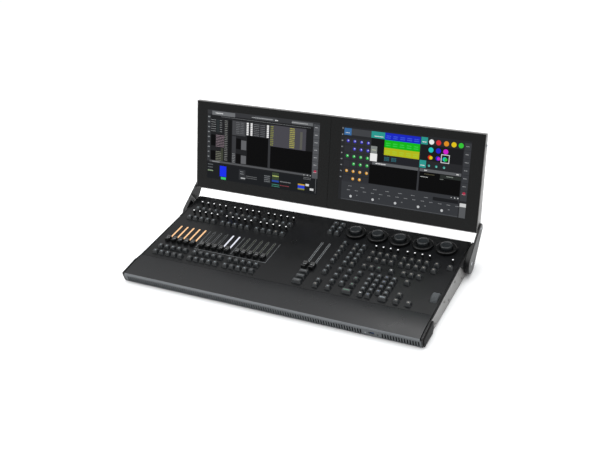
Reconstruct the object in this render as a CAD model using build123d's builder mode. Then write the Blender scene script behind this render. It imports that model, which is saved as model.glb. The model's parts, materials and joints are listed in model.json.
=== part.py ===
"""Lighting control desk: a low sloped console with a two-screen monitor wing on two arms.

Frame: X to the operator's right, Y away from the operator, Z up, millimetres.
The origin is the middle of the whole object's footprint, on the surface it stands on.
"""
import os
from math import atan2, cos, radians, sin, sqrt, tan

from build123d import *

os.makedirs("parts", exist_ok=True)

# ---- Console body ------------------------------------------------------------------
body_width = 802.0        # over the two side cheeks
lip_height = 28.3         # top of the armrest's front lip above the floor
lip_overhang = 7.5        # the lip stands this far in front of the bottom edge
armrest_depth = 84.0      # lip to the deck's front edge
armrest_rise = 8.35       # the armrest climbs this much over its depth
armrest_crown = 2.6       # bulge of its top over the straight chord
armrest_wall = 3.0
deck_slope = 4.64         # degrees
deck_wall = 3.0
cheek_wall = 3.0
sheet = 2.0               # tray, grille and rear panel
foot_height = 2.5
panel_gap = 2.2           # shadow gap between the deck and each cheek
seam = 0.3                # gap between pieces that lie edge to edge
ledge = 2.5               # how far each rail reaches under the deck
rail_wall = 3.0
rail_front = 10.0         # the rails stop short of the deck's ends
rail_rear = 14.0

# ---- Controls ----------------------------------------------------------------------
key_pitch = 19.05
key_base = 14.5
key_height = 8.8
key_shoulder = 1.2        # straight part above the deck before the taper starts
key_skirt = 4.0           # straight part below the deck's top
key_taper = 18.0          # degrees from upright
key_gap = 0.4             # clearance all round a key or knob in the deck
wide_key = 25.5
number_wide_key = 22.0
row_pitch = 18.6
program_pitch = 19.5
command_pitch = 24.6
knob_diameter = 6.2
knob_height = 11.6
knob_skirt = 4.5
knob_edge = 1.0           # bevelled part of its height
knob_bevel = 30.0         # degrees from upright
fader_travel = 60.0
master_travel = 100.0
cap_length = 19.5
cap_width = 10.6
cap_height = 10.0
cap_corner = 1.5
cap_taper = 6.0
dip_radius = 13.5         # finger dip across a cap
dip_depth = 2.3
master_cap_length = 23.0
master_cap_width = 12.0
cap_lift = 0.8            # air between a fader cap and the deck
stem_width = 1.2
stem_length = 4.0
stem_drop = 9.0           # how far a fader's stem reaches below the deck's top
slot_gap = 0.4            # clearance each side of a stem
bar_width = 4.6           # lit strip round each executor slot
ring_diameter = 53.0      # outer encoder ring
ring_height = 8.0
ring_gap = 7.7            # between neighbouring encoder rings
dial_diameter = 30.0
dial_height = 16.0
spin_gap = 0.6            # between a ring, its dial and the deck
ring_shaft = 6.0          # radius of the ring's hollow shaft
dial_shaft = 3.0          # radius of the dial's shaft
running_fit = 0.05        # radial clearance of a shaft in its bore
wheel_width = 16.5
wheel_rise = 9.0          # the level wheel stands this far above the deck
wheel_floor = 3.3         # air between the wheel and the tray
wheel_axle = 2.5          # radius

# ---- Monitor wing ------------------------------------------------------------------
screen_width = 344.16
screen_height = 193.59
screen_gap = 62.2
monitor_overhang = 8.26   # each end of the monitor stands out past its cheek
top_margin = 22.6
bottom_margin = 32.2
monitor_lean = 14.34      # degrees back from upright
shell_top = 13.0          # housing depth at its top and bottom
shell_bottom = 30.0
shell_wall = 2.5
rim = 1.6                 # metal rim round the glass
glass_wall = 3.0
panel_depth = 6.0

# ---- Arms --------------------------------------------------------------------------
hub_setback = 322.6       # lower pivot behind the body's bottom front edge
hub_height = 33.5
arm_length = 94.8         # pivot to pivot
arm_angle = 37.4          # degrees above level
arm_tip = 4.64            # thickness of the arm beside the monitor
arm_low_radius = 27.0
arm_high_radius = 14.0
arm_edge = 2.0            # rounding of the arm's outer edges
arm_gap = 0.6             # between an arm and the monitor
slant_start = 29.0        # the arm's inner face steps out between these distances
slant_end = 46.0          # from the lower pivot
low_pin = 6.0             # radii
high_pin = 4.5
pin_recess = 0.4          # pin ends behind the arm's outer face
pin_grip = 12.0           # length of the upper pin inside the monitor
pivot_rise = 7.5          # upper pivot above the monitor's bottom edge
pivot_depth = 20.0        # and behind its front face
cover_wall = 2.1          # black cover on each cheek beside the lower pivot
cover_lead = 54.0         # its top corner lies this far in front of the pivot
cover_inset = 0.6         # below the deck line
hub_gap = 0.4             # between a cover and its arm

# ---- Worked out from the sizes above -----------------------------------------------
slope = radians(deck_slope)
lean = radians(monitor_lean)
lift = radians(arm_angle)
monitor_width = body_width + 2 * monitor_overhang
monitor_height = screen_height + top_margin + bottom_margin
half_body = body_width / 2
half_monitor = monitor_width / 2
inner_half = half_body - cheek_wall - panel_gap
arm_inner = half_body + cover_wall + hub_gap
arm_head = half_monitor + arm_gap
arm_outer = arm_head + arm_tip

mon_up = (sin(lean), cos(lean))
mon_back = (cos(lean), -sin(lean))
hub = (hub_setback, hub_height)
elbow = (hub[0] + arm_length * cos(lift), hub[1] + arm_length * sin(lift))
mon_low = (
    elbow[0] - pivot_rise * mon_up[0] - pivot_depth * mon_back[0],
    elbow[1] - pivot_rise * mon_up[1] - pivot_depth * mon_back[1],
)
monitor_rear = mon_low[0] + monitor_height * mon_up[0] + shell_top * mon_back[0]
overall_depth = lip_overhang + monitor_rear
front_y = lip_overhang - overall_depth / 2      # the body's bottom front edge

deck_start = armrest_depth - lip_overhang
deck_z = lip_height + armrest_rise
deck = Plane(
    origin=(0, front_y + deck_start, deck_z), x_dir=(1, 0, 0), z_dir=(0, -sin(slope), cos(slope))
)
screen_plane = Plane(
    origin=(0, front_y + mon_low[0], mon_low[1]), x_dir=(1, 0, 0), z_dir=(0, -cos(lean), sin(lean))
)

# Rows of controls, measured up the deck from its front edge.
front_row = 17.7
exec_front_row = 19.9
exec_second_row = exec_front_row + 25.3
fader_start = exec_second_row + 35.4            # cap centre with the fader down
slot_start = fader_start - 7.5
slot_end = fader_start + fader_travel + 8.5
exec_key_low = slot_end + 40.6
exec_knob_low = exec_key_low + 24.4
exec_key_high = exec_knob_low + 20.5
exec_knob_high = exec_key_high + 24.9
deck_length = exec_knob_high + 42.0
encoder_row = deck_length - 50.0
program_row = deck_length - 103.6               # topmost row of the program keys
assign_knob_row = program_row + 4.0
deck_rear = deck_start + deck_length * cos(slope)
deck_rear_z = deck_z + deck_length * sin(slope)

# Columns, measured from the deck's left and right edges.
group_gap = 10.1
exec_x = [-inner_half + 29.7 + key_pitch * i + group_gap * (i // 5) for i in range(15)]
encoder_pitch = ring_diameter + ring_gap
encoder_x = [inner_half - 48.2 - encoder_pitch * (4 - i) for i in range(5)]
aisle = encoder_x[0] - ring_diameter / 2 - 30.2
master_x = [aisle - 10.3, aisle + 10.3]
master_start = fader_start + 3.0
program_x = inner_half - 298.2
middle_x = inner_half - 265.3
number_x = inner_half - 181.8
assign_gap = 5.9
assign_x = [inner_half - 214.1 + 19.2 * i + assign_gap * (i // 4) for i in range(8)]
home_x = inner_half - 48.8
corner_x = inner_half - 15.9
wheel_x = inner_half - 13.8
wheel_v = 63.0
wheel_space = (deck_z + wheel_v * sin(slope) - foot_height - sheet - wheel_floor) / cos(slope)
wheel_radius = (wheel_rise + wheel_space) / 2
wheel_sink = wheel_radius - wheel_rise          # its axle below the deck's top


def spots(columns, rows, width=key_base):
    """Key places (x, distance up the deck, width) for every column and row."""
    return [(x, v, width) for v in rows for x in columns]


program_rows = [program_row - program_pitch * i for i in range(5)]
command_rows = [front_row + command_pitch * i for i in range(4)]
number_rows = [front_row + row_pitch * i for i in range(5)]
exec_rear_keys = spots(exec_x, [exec_key_high, exec_key_low])
exec_front_keys = spots(exec_x, [exec_second_row, exec_front_row])
go_keys = spots([aisle], [front_row, front_row + 19.3, front_row + 38.6], wide_key)
view_rows = [deck_length - offset for offset in (27.2, 46.3, 65.4)]
program_keys = (
    spots([aisle - 9.75, aisle + 9.75], view_rows)
    + spots([program_x], program_rows)
    + spots([middle_x, middle_x + 19.3], program_rows)
    + spots([program_x], [front_row, front_row + 18.1, front_row + 54.9, front_row + 74.5])
)
command_keys = (
    spots([middle_x], command_rows)
    + spots([middle_x + 25.6, middle_x + 52.2], command_rows[1:])
    + spots([middle_x + 48.3], command_rows[:1], wide_key)
)
number_keys = (
    spots([number_x + key_pitch * i for i in range(4)], number_rows[1:])
    + spots([number_x, number_x + key_pitch], number_rows[:1])
    + spots([number_x + 2.9 * key_pitch], number_rows[:1], number_wide_key)
)
assign_row = program_row - program_pitch
assign_low_row = assign_row - 23.9
macro_row = program_rows[4] + 1.5
macro_x = (assign_x[3] + assign_x[4]) / 2
macro_keys = (
    spots(assign_x + [home_x], [assign_row, assign_low_row])
    + spots([corner_x], [assign_row])
    + spots(assign_x[:3] + [macro_x] + assign_x[5:], [macro_row])
    + spots([assign_x[6]], [number_rows[4], front_row, front_row + 23.4])
    + spots([assign_x[6] + 30.4], [front_row])
)
all_keys = exec_rear_keys + exec_front_keys + go_keys + program_keys + command_keys
all_keys = all_keys + number_keys + macro_keys
exec_knobs = [(x, v) for v in (exec_knob_high, exec_knob_low) for x in exec_x]
assign_knobs = [(x, assign_knob_row) for x in assign_x + [corner_x]]


def save(piece, name):
    """Name a finished piece and write it."""
    piece.part.label = name
    export_step(piece.part, f"parts/{name}.step")


def side(y, z):
    """A point of a side profile, from its distance behind the body's bottom front edge."""
    return (front_y + y, z)


def deck_point(v, h):
    """A point of a side profile, v up the deck and h above it."""
    return side(deck_start + v * cos(slope) - h * sin(slope), deck_z + v * sin(slope) + h * cos(slope))


def monitor_point(a, b):
    """A point of a side profile, a up the monitor's face and b behind it."""
    y = mon_low[0] + a * mon_up[0] + b * mon_back[0]
    z = mon_low[1] + a * mon_up[1] + b * mon_back[1]
    return side(y, z)


# ---- Tray, cheeks, armrest, grille and rear panel -----------------------------------
tray_top = foot_height + sheet
grille_top = (-lip_overhang + 2.3, lip_height - 6.0)
tray_half = half_body - cheek_wall
flange_height = 10.0
cut_clear = 2.0           # a cut starts this far off the sheet it goes through
port_notch = 2.0          # the tray's flange is notched this much wider than the port
port_x = inner_half - 115.5
port_clear = 26.5         # port to the nearest vent, middle to middle
port_width = 14.4
port_height = 6.8
port_mouth = -1.2         # behind the grille's slanted face
grille_rise = grille_top[1] - foot_height
port_face = Plane(
    origin=(0, front_y + port_mouth, foot_height + grille_rise / 2),
    x_dir=(1, 0, 0),
    z_dir=(0, -1, 0),
)

with BuildPart() as bottom_tray:
    with BuildSketch(Plane.YZ.offset(-tray_half)):
        with BuildLine():
            Polyline(
                side(sheet, foot_height),
                side(deck_rear - sheet, foot_height),
                side(deck_rear - sheet, tray_top + flange_height),
                side(deck_rear - 2 * sheet, tray_top + flange_height),
                side(deck_rear - 2 * sheet, tray_top),
                side(2 * sheet, tray_top),
                side(2 * sheet, tray_top + flange_height),
                side(sheet, tray_top + flange_height),
                close=True,
            )
        make_face()
    extrude(amount=2 * tray_half)
    with BuildSketch(Plane.XY.offset(tray_top)):
        with Locations((port_x, front_y + 2 * sheet)):
            Rectangle(port_width + port_notch, 4 * sheet)
    extrude(amount=flange_height, mode=Mode.SUBTRACT)
save(bottom_tray, "bottom_tray")

lip_nose = (-lip_overhang, lip_height - 2.6)
lip_top = (-lip_overhang + 2.4, lip_height)
crown = (
    (lip_top[0] + deck_start) / 2,
    (lip_top[1] + deck_z) / 2 + armrest_crown,
)


def cheek_profile(plane):
    """Outline of a side cheek: front slant, lip, armrest crown, deck line and rear."""
    with BuildSketch(plane) as outline:
        with BuildLine():
            Line(side(0, foot_height), side(*grille_top))
            Line(side(*grille_top), side(*lip_nose))
            Line(side(*lip_nose), side(*lip_top))
            ThreePointArc(side(*lip_top), side(*crown), side(deck_start, deck_z))
            Line(side(deck_start, deck_z), side(deck_rear, deck_rear_z))
            Line(side(deck_rear, deck_rear_z), side(deck_rear, foot_height))
            Line(side(deck_rear, foot_height), side(0, foot_height))
        make_face()
    return outline.sketch


def rail_profile(plane):
    """Outline of the rail that carries the deck's edge."""
    with BuildSketch(plane) as outline:
        with BuildLine():
            Polyline(
                deck_point(rail_front, -deck_wall),
                deck_point(deck_length - rail_rear, -deck_wall),
                deck_point(deck_length - rail_rear, -deck_wall - rail_wall),
                deck_point(rail_front, -deck_wall - rail_wall),
                close=True,
            )
        make_face()
    return outline.sketch


screw_low = 14.0          # lower row above the floor
screw_drop = 13.0         # upper row below the deck line
screw_places = [side(y, screw_low) for y in (80.0, 180.0, hub_setback - 42.0)]
screw_places = screw_places + [deck_point(v, -screw_drop) for v in (70.0, 150.0)]
screw_radius = 1.5
hex_radius = 1.5
head_radius = 3.0
head_height = 1.4
hex_depth = 1.0
screw_reach = 7.0

for hand, name in ((-1, "side_cheek_left"), (1, "side_cheek_right")):
    with BuildPart() as side_cheek:
        extrude(cheek_profile(Plane.YZ.offset(hand * half_body)), amount=-hand * cheek_wall)
        rail_plane = Plane.YZ.offset(hand * (half_body - cheek_wall))
        extrude(rail_profile(rail_plane), amount=-hand * (panel_gap + ledge))
        with BuildSketch(Plane.YZ.offset(hand * half_body)):
            with Locations(*screw_places):
                Circle(screw_radius)
        extrude(amount=-hand * cheek_wall, mode=Mode.SUBTRACT)
        with BuildSketch(Plane.YZ.offset(hand * half_body)):
            with Locations(side(*hub)):
                Circle(low_pin)
        extrude(amount=-hand * cheek_wall, mode=Mode.SUBTRACT)
    save(side_cheek, name)

with BuildPart() as case_screws:
    for hand in (-1, 1):
        with BuildSketch(Plane.YZ.offset(hand * half_body)):
            with Locations(*screw_places):
                Circle(head_radius)
        extrude(amount=hand * head_height)
        with BuildSketch(Plane.YZ.offset(hand * half_body)):
            with Locations(*screw_places):
                Circle(screw_radius)
        extrude(amount=-hand * screw_reach)
        with BuildSketch(Plane.YZ.offset(hand * (half_body + head_height))):
            with Locations(*screw_places):
                RegularPolygon(hex_radius, 6)
        extrude(amount=-hand * hex_depth, mode=Mode.SUBTRACT)
save(case_screws, "case_screws")

armrest_ledge = 9.0       # the armrest's tongue reaches this far under the deck
tongue_wall = 3.0
tongue_start = 4.0        # the tongue leaves the armrest this far in front of the deck
tongue_low = deck_wall + tongue_wall
lip_root = (2.5, lip_height - 5.4)
lip_round = 1.6
with BuildPart() as armrest:
    with BuildSketch(Plane.YZ.offset(-inner_half)):
        with BuildLine():
            Line(side(*grille_top), side(*lip_nose))
            Line(side(*lip_nose), side(*lip_top))
            ThreePointArc(side(*lip_top), side(*crown), side(deck_start - seam, deck_z))
            Line(side(deck_start - seam, deck_z), deck_point(-seam, -deck_wall))
            Line(deck_point(-seam, -deck_wall), deck_point(armrest_ledge, -deck_wall))
            Line(deck_point(armrest_ledge, -deck_wall), deck_point(armrest_ledge, -tongue_low))
            Line(deck_point(armrest_ledge, -tongue_low), deck_point(-tongue_start, -tongue_low))
            ThreePointArc(
                deck_point(-tongue_start, -tongue_low),
                side(crown[0], crown[1] - armrest_wall),
                side(*lip_root),
            )
            Line(side(*lip_root), side(grille_top[0] + sheet, grille_top[1]))
            Line(side(grille_top[0] + sheet, grille_top[1]), side(*grille_top))
        make_face()
    extrude(amount=2 * inner_half)
    lip_edges = armrest.edges().filter_by(Axis.X).sort_by(Axis.Y)[0:1]
    fillet(lip_edges, lip_round)
save(armrest, "armrest")

# The grille leans forward under the lip.
grille_tilt = atan2(-grille_top[0], grille_rise)
grille_face = Plane(
    origin=(0, front_y + grille_top[0] / 2, foot_height + grille_rise / 2),
    x_dir=(1, 0, 0),
    z_dir=(0, -cos(grille_tilt), -sin(grille_tilt)),
)
vent_pitch = 6.54
vent_width = 3.4
vent_height = 15.5
vent_drop = 1.2           # the vents' middle below the grille's middle
vent_margin = 5.0         # plain metal at each end
port_reach = 8.0
left_vents = 1 + int((port_x - port_clear + tray_half - vent_margin) / vent_pitch)
right_vents = 1 + int((tray_half - vent_margin - port_x - port_clear) / vent_pitch)
left_vent_x = port_x - port_clear - vent_pitch * (left_vents - 1) / 2
right_vent_x = port_x + port_clear + vent_pitch * (right_vents - 1) / 2

with BuildPart() as front_grille:
    with BuildSketch(Plane.YZ.offset(-tray_half)):
        with BuildLine():
            Polyline(
                side(0, foot_height),
                side(*grille_top),
                side(grille_top[0] + sheet, grille_top[1]),
                side(sheet, foot_height),
                close=True,
            )
        make_face()
    extrude(amount=2 * tray_half)
    with BuildSketch(grille_face.offset(cut_clear)):
        with Locations((left_vent_x, -vent_drop)):
            with GridLocations(vent_pitch, 0, left_vents, 1):
                SlotOverall(vent_height, vent_width, rotation=90)
        with Locations((right_vent_x, -vent_drop)):
            with GridLocations(vent_pitch, 0, right_vents, 1):
                SlotOverall(vent_height, vent_width, rotation=90)
    extrude(amount=-(2 * cut_clear + sheet), mode=Mode.SUBTRACT)
    with BuildSketch(port_face.offset(port_reach)):
        with Locations((port_x, 0)):
            Rectangle(port_width, port_height)
    extrude(amount=-2 * port_reach, mode=Mode.SUBTRACT)
save(front_grille, "front_grille")

rear_face = Plane(origin=(0, front_y + deck_rear, 0), x_dir=(-1, 0, 0), z_dir=(0, 1, 0))
inlet_x = -inner_half + 50.0
inlet_z = 30.0
inlet_size = (27.0, 20.0)
net_x = [-60.0, -36.0]
net_size = (15.6, 13.4)
dmx_x = [60.0 + 34.0 * i for i in range(4)]
dmx_z = 30.0
dmx_radius = 11.8
flange_size = (26.0, 31.0)
flange_corner = 2.5
flange_wall = 1.6
rear_lip = 12.0           # the panel's top lip reaches this far under the deck
rear_ease = 0.2           # air between the panel's corner and the deck

with BuildPart() as rear_panel:
    with BuildSketch(Plane.YZ.offset(-tray_half)):
        with BuildLine():
            Polyline(
                side(deck_rear - sheet, foot_height),
                side(deck_rear, foot_height),
                side(deck_rear, deck_rear_z - deck_wall - rear_ease),
                deck_point(deck_length - rear_lip, -deck_wall),
                deck_point(deck_length - rear_lip, -deck_wall - sheet),
                side(deck_rear - sheet, deck_rear_z - deck_wall - sheet - 2 * rear_ease),
                close=True,
            )
        make_face()
    extrude(amount=2 * tray_half)
    with BuildSketch(rear_face.offset(cut_clear)):
        with Locations((-inlet_x, inlet_z)):
            Rectangle(*inlet_size)
        with Locations(*[(-x, inlet_z) for x in net_x]):
            Rectangle(*net_size)
        with Locations(*[(-x, dmx_z) for x in dmx_x]):
            Circle(dmx_radius)
    extrude(amount=-(2 * cut_clear + sheet), mode=Mode.SUBTRACT)
save(rear_panel, "rear_panel")

# ---- Sockets -------------------------------------------------------------------------
port_wall = 0.7
port_depth = 13.0
port_floor = 1.5
inlet_wall = 1.8
inlet_depth = 22.0
net_depth = 16.0
net_wall = 1.6
socket_floor = 2.5

with BuildPart() as sockets:
    with BuildSketch(port_face):
        with Locations((port_x, 0)):
            Rectangle(port_width, port_height)
    extrude(amount=-port_depth)
    with BuildSketch(port_face):
        with Locations((port_x, 0)):
            Rectangle(port_width - 2 * port_wall, port_height - 2 * port_wall)
    extrude(amount=-(port_depth - port_floor), mode=Mode.SUBTRACT)
    with BuildSketch(rear_face):
        with Locations((-inlet_x, inlet_z)):
            Rectangle(*inlet_size)
        with Locations(*[(-x, inlet_z) for x in net_x]):
            Rectangle(*net_size)
        with Locations(*[(-x, dmx_z) for x in dmx_x]):
            Circle(dmx_radius)
    extrude(amount=-net_depth)
    with BuildSketch(rear_face.offset(-net_depth)):
        with Locations((-inlet_x, inlet_z)):
            Rectangle(*inlet_size)
    extrude(amount=-(inlet_depth - net_depth))
    with BuildSketch(rear_face):
        with Locations(*[(-x, dmx_z) for x in dmx_x]):
            RectangleRounded(flange_size[0], flange_size[1], flange_corner)
    extrude(amount=flange_wall)
    with BuildSketch(rear_face):
        with Locations((-inlet_x, inlet_z)):
            Rectangle(inlet_size[0] - 2 * inlet_wall, inlet_size[1] - 2 * inlet_wall)
    extrude(amount=-(inlet_depth - socket_floor), mode=Mode.SUBTRACT)
    with BuildSketch(rear_face):
        with Locations(*[(-x, inlet_z) for x in net_x]):
            Rectangle(net_size[0] - 2 * net_wall, net_size[1] - 2 * net_wall)
    extrude(amount=-(net_depth - socket_floor), mode=Mode.SUBTRACT)
save(sockets, "sockets")

# ---- Feet, corner guards ---------------------------------------------------------------
foot_radius = 11.0
foot_x = half_body - 45.0
foot_rows = [28.0, deck_rear - 30.0]
foot_chamfer = 0.8

with BuildPart() as rubber_feet:
    with BuildSketch(Plane.XY):
        with Locations(*[(x, front_y + y) for x in (-foot_x, 0, foot_x) for y in foot_rows]):
            Circle(foot_radius)
    extrude(amount=foot_height)
    chamfer(rubber_feet.edges().group_by(Axis.Z)[0], foot_chamfer)
save(rubber_feet, "rubber_feet")

guard_length = 62.0
guard_wall = 4.0
guard_inset = 1.2
guard_bevel = 8.0         # lower rear corner
guard_nick = 6.0          # upper rear corner
guard_drop = 2.0
guard_knee = 20.0         # where its top leaves the lip, behind the bottom front edge
guard_round = 1.8
guard_top = deck_z - guard_inset
guard_foot = foot_height + guard_inset

with BuildPart() as corner_guards:
    for hand in (-1, 1):
        with BuildSketch(Plane.YZ.offset(hand * half_body)):
            with BuildLine():
                Polyline(
                    side(guard_inset, guard_foot),
                    side(guard_length - guard_bevel, guard_foot),
                    side(guard_length, guard_foot + guard_bevel),
                    side(guard_length, guard_top - guard_drop),
                    side(guard_length - guard_nick, guard_top),
                    side(guard_knee, lip_height + guard_drop),
                    side(lip_top[0] + guard_drop, lip_height - guard_inset),
                    side(grille_top[0] + guard_inset, grille_top[1] - guard_inset),
                    close=True,
                )
            make_face()
        extrude(amount=hand * guard_wall)
    outer_edges = corner_guards.edges().group_by(Axis.X)
    fillet(outer_edges[0] + outer_edges[-1], guard_round)
save(corner_guards, "corner_guards")

# ---- Deck ------------------------------------------------------------------------------
slot_width = stem_width + 2 * slot_gap
slot_middle = (slot_start + slot_end) / 2
slot_length = slot_end - slot_start
bar_end = 1.5             # lit strip beyond each end of the slot
slot_spare = 7.5          # a master fader's slot runs on this far past its travel
master_low = master_start - slot_spare
master_high = master_start + master_travel + slot_spare
wheel_slot = 2 * (sqrt(wheel_radius**2 - (wheel_sink - deck_wall) ** 2) + spin_gap)
shaft_clear = ring_shaft + key_gap

with BuildPart() as deck_panel:
    with BuildSketch(deck):
        with Locations((0, deck_length / 2)):
            Rectangle(2 * inner_half, deck_length)
        for width in sorted({key[2] for key in all_keys}):
            with Locations(*[(x, v) for x, v, w in all_keys if w == width]):
                Rectangle(width + 2 * key_gap, key_base + 2 * key_gap, mode=Mode.SUBTRACT)
        with Locations(*(exec_knobs + assign_knobs)):
            Circle(knob_diameter / 2 + key_gap, mode=Mode.SUBTRACT)
        with Locations(*[(x, slot_middle) for x in exec_x]):
            SlotOverall(slot_length, bar_width, rotation=90, mode=Mode.SUBTRACT)
        with Locations(*[(x, (master_low + master_high) / 2) for x in master_x]):
            SlotOverall(master_high - master_low, slot_width, rotation=90, mode=Mode.SUBTRACT)
        with Locations(*[(x, encoder_row) for x in encoder_x]):
            Circle(shaft_clear, mode=Mode.SUBTRACT)
        with Locations((wheel_x, wheel_v)):
            Rectangle(wheel_width + 2 * spin_gap, wheel_slot, mode=Mode.SUBTRACT)
    extrude(amount=-deck_wall)
save(deck_panel, "deck_panel")

with BuildPart() as fader_light_bars:
    with BuildSketch(deck):
        with Locations(*[(x, slot_middle) for x in exec_x]):
            SlotOverall(slot_length, bar_width, rotation=90)
            SlotOverall(slot_length - 2 * bar_end, slot_width, rotation=90, mode=Mode.SUBTRACT)
    extrude(amount=-deck_wall)
save(fader_light_bars, "fader_light_bars")

# ---- Keys and knobs --------------------------------------------------------------------


def key_block(name, keys):
    """Tapered key caps, each standing through its own opening in the deck."""
    with BuildPart() as block:
        for lower, upper, taper in (
            (-key_skirt, key_shoulder, 0),
            (key_shoulder, key_height, key_taper),
        ):
            with BuildSketch(deck.offset(lower)):
                for x, v, width in keys:
                    with Locations((x, v)):
                        Rectangle(width, key_base)
            extrude(amount=upper - lower, taper=taper)
    save(block, name)


key_block("executor_keys_rear", exec_rear_keys)
key_block("executor_keys_front", exec_front_keys)
key_block("go_keys", go_keys)
key_block("program_keys", program_keys)
key_block("command_keys", command_keys)
key_block("number_keys", number_keys)
key_block("macro_keys", macro_keys)


def knob_block(name, places):
    """Round posts with a chamfered top, each through its own hole in the deck."""
    with BuildPart() as block:
        with BuildSketch(deck.offset(-knob_skirt)):
            with Locations(*places):
                Circle(knob_diameter / 2)
        extrude(amount=knob_skirt + knob_height - knob_edge)
        with BuildSketch(deck.offset(knob_height - knob_edge)):
            with Locations(*places):
                Circle(knob_diameter / 2)
        extrude(amount=knob_edge, taper=knob_bevel)
    save(block, name)


knob_block("executor_knobs", exec_knobs)
knob_block("assign_knobs", assign_knobs)

# ---- Faders ----------------------------------------------------------------------------


def fader_cap(name, x, v, width, length):
    """A cap with a finger dip across it, on a flat stem that runs in the slot."""
    with BuildPart() as cap:
        with BuildSketch(deck.offset(cap_lift)):
            with Locations((x, v)):
                RectangleRounded(width, length, cap_corner)
        extrude(amount=cap_height - cap_lift, taper=cap_taper)
        dip_centre = Vector(x, v, cap_height + dip_radius - dip_depth)
        dip = Plane(deck.from_local_coords(dip_centre), x_dir=deck.y_dir, z_dir=deck.x_dir)
        with BuildSketch(dip.offset(-width)):
            Circle(dip_radius)
        extrude(amount=2 * width, mode=Mode.SUBTRACT)
        with BuildSketch(deck.offset(-stem_drop)):
            with Locations((x, v)):
                Rectangle(stem_width, stem_length)
        extrude(amount=stem_drop + cap_lift)
    save(cap, name)


for i, x in enumerate(exec_x):
    fader_cap(f"executor_fader_{i + 1:02d}", x, fader_start, cap_width, cap_length)
for x, name in zip(master_x, ("master_fader_left", "master_fader_right")):
    fader_cap(name, x, master_start, master_cap_width, master_cap_length)

unit_width = 9.0
unit_depth = 16.0
unit_wall = 1.2
unit_extra = 24.0         # a fader's body is this much longer than its travel
unit_seat = 0.2           # air under the deck
unit_drop = deck_wall + unit_seat

with BuildPart() as fader_units:
    fader_runs = [(x, fader_start, fader_travel) for x in exec_x]
    fader_runs = fader_runs + [(x, master_start, master_travel) for x in master_x]
    for x, start, travel in fader_runs:
        with BuildSketch(deck.offset(-unit_drop)):
            with Locations((x, start + travel / 2)):
                Rectangle(unit_width, travel + unit_extra)
        extrude(amount=-unit_depth)
        with BuildSketch(deck.offset(-unit_drop)):
            with Locations((x, start + travel / 2)):
                Rectangle(slot_width, travel + unit_extra / 2)
        extrude(amount=-(unit_depth - unit_wall), mode=Mode.SUBTRACT)
save(fader_units, "fader_units")

# ---- Encoders and level wheel -------------------------------------------------------------
unit_size = 34.0
encoder_top = deck_wall + unit_seat
encoder_depth = 14.0
ring_web = 2.0
ring_chamfer = 1.6
dial_chamfer = 1.2
shaft_short = 2.0         # the ring's shaft ends this far inside its encoder
ring_reach = encoder_top + encoder_depth - shaft_short
dial_reach = ring_reach + shaft_short / 2
ring_bore = dial_diameter / 2 + spin_gap

for i, x in enumerate(encoder_x):
    axis_plane = Plane(deck.from_local_coords(Vector(x, encoder_row, 0)), x_dir=(1, 0, 0),
                       z_dir=deck.z_dir)
    with BuildPart() as encoder_ring:
        with BuildSketch(axis_plane.offset(spin_gap)):
            Circle(ring_diameter / 2)
        extrude(amount=ring_height - spin_gap)
        chamfer(encoder_ring.edges().sort_by(Axis.Z)[-1:], ring_chamfer)
        with BuildSketch(axis_plane.offset(spin_gap + ring_web)):
            Circle(ring_bore)
        extrude(amount=ring_height, mode=Mode.SUBTRACT)
        with BuildSketch(axis_plane.offset(-ring_reach)):
            Circle(ring_shaft)
        extrude(amount=ring_reach + spin_gap)
        with BuildSketch(axis_plane.offset(-ring_reach)):
            Circle(dial_shaft + running_fit)
        extrude(amount=ring_reach + spin_gap + ring_web, mode=Mode.SUBTRACT)
    save(encoder_ring, f"encoder_ring_{i + 1}")
    dial_base = 2 * spin_gap + ring_web
    with BuildPart() as encoder_dial:
        with BuildSketch(axis_plane.offset(dial_base)):
            Circle(dial_diameter / 2)
        extrude(amount=dial_height - dial_base)
        chamfer(encoder_dial.edges().sort_by(Axis.Z)[-1:], dial_chamfer)
        with BuildSketch(axis_plane.offset(-dial_reach)):
            Circle(dial_shaft)
        extrude(amount=dial_reach + dial_base)
    save(encoder_dial, f"encoder_dial_{i + 1}")

block_gap = 0.4
block_wall = 2.2
block_length = 12.0
block_spare = 5.0         # the block reaches this far below the axle
block_foot = wheel_sink + wheel_axle + block_spare
block_sides = [wheel_x - wheel_width / 2 - block_gap - block_wall, wheel_x + wheel_width / 2 + block_gap]

with BuildPart() as encoder_units:
    with BuildSketch(deck.offset(-encoder_top)):
        with Locations(*[(x, encoder_row) for x in encoder_x]):
            Rectangle(unit_size, unit_size)
            Circle(ring_shaft + running_fit, mode=Mode.SUBTRACT)
    extrude(amount=-encoder_depth)
    for x in block_sides:
        block_plane = Plane(deck.from_local_coords(Vector(x, wheel_v, 0)), x_dir=deck.y_dir,
                            z_dir=deck.x_dir)
        with BuildSketch(block_plane):
            with Locations((0, -(encoder_top + block_foot) / 2)):
                Rectangle(block_length, block_foot - encoder_top)
            with Locations((0, -wheel_sink)):
                Circle(wheel_axle + running_fit, mode=Mode.SUBTRACT)
        extrude(amount=block_wall)
save(encoder_units, "encoder_units")

grip_grooves = 40
groove_radius = 1.1
groove_out = 0.5          # a groove's centre outside the rim

wheel_plane = Plane(deck.from_local_coords(Vector(wheel_x, wheel_v, -wheel_sink)), x_dir=deck.y_dir,
                    z_dir=deck.x_dir)
with BuildPart() as level_wheel:
    with BuildSketch(wheel_plane.offset(-wheel_width / 2)):
        Circle(wheel_radius)
        with PolarLocations(wheel_radius + groove_out, grip_grooves):
            Circle(groove_radius, mode=Mode.SUBTRACT)
    extrude(amount=wheel_width)
    with BuildSketch(wheel_plane.offset(-wheel_width / 2 - block_gap - block_wall)):
        Circle(wheel_axle)
    extrude(amount=wheel_width + 2 * (block_gap + block_wall))
save(level_wheel, "level_wheel")

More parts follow.
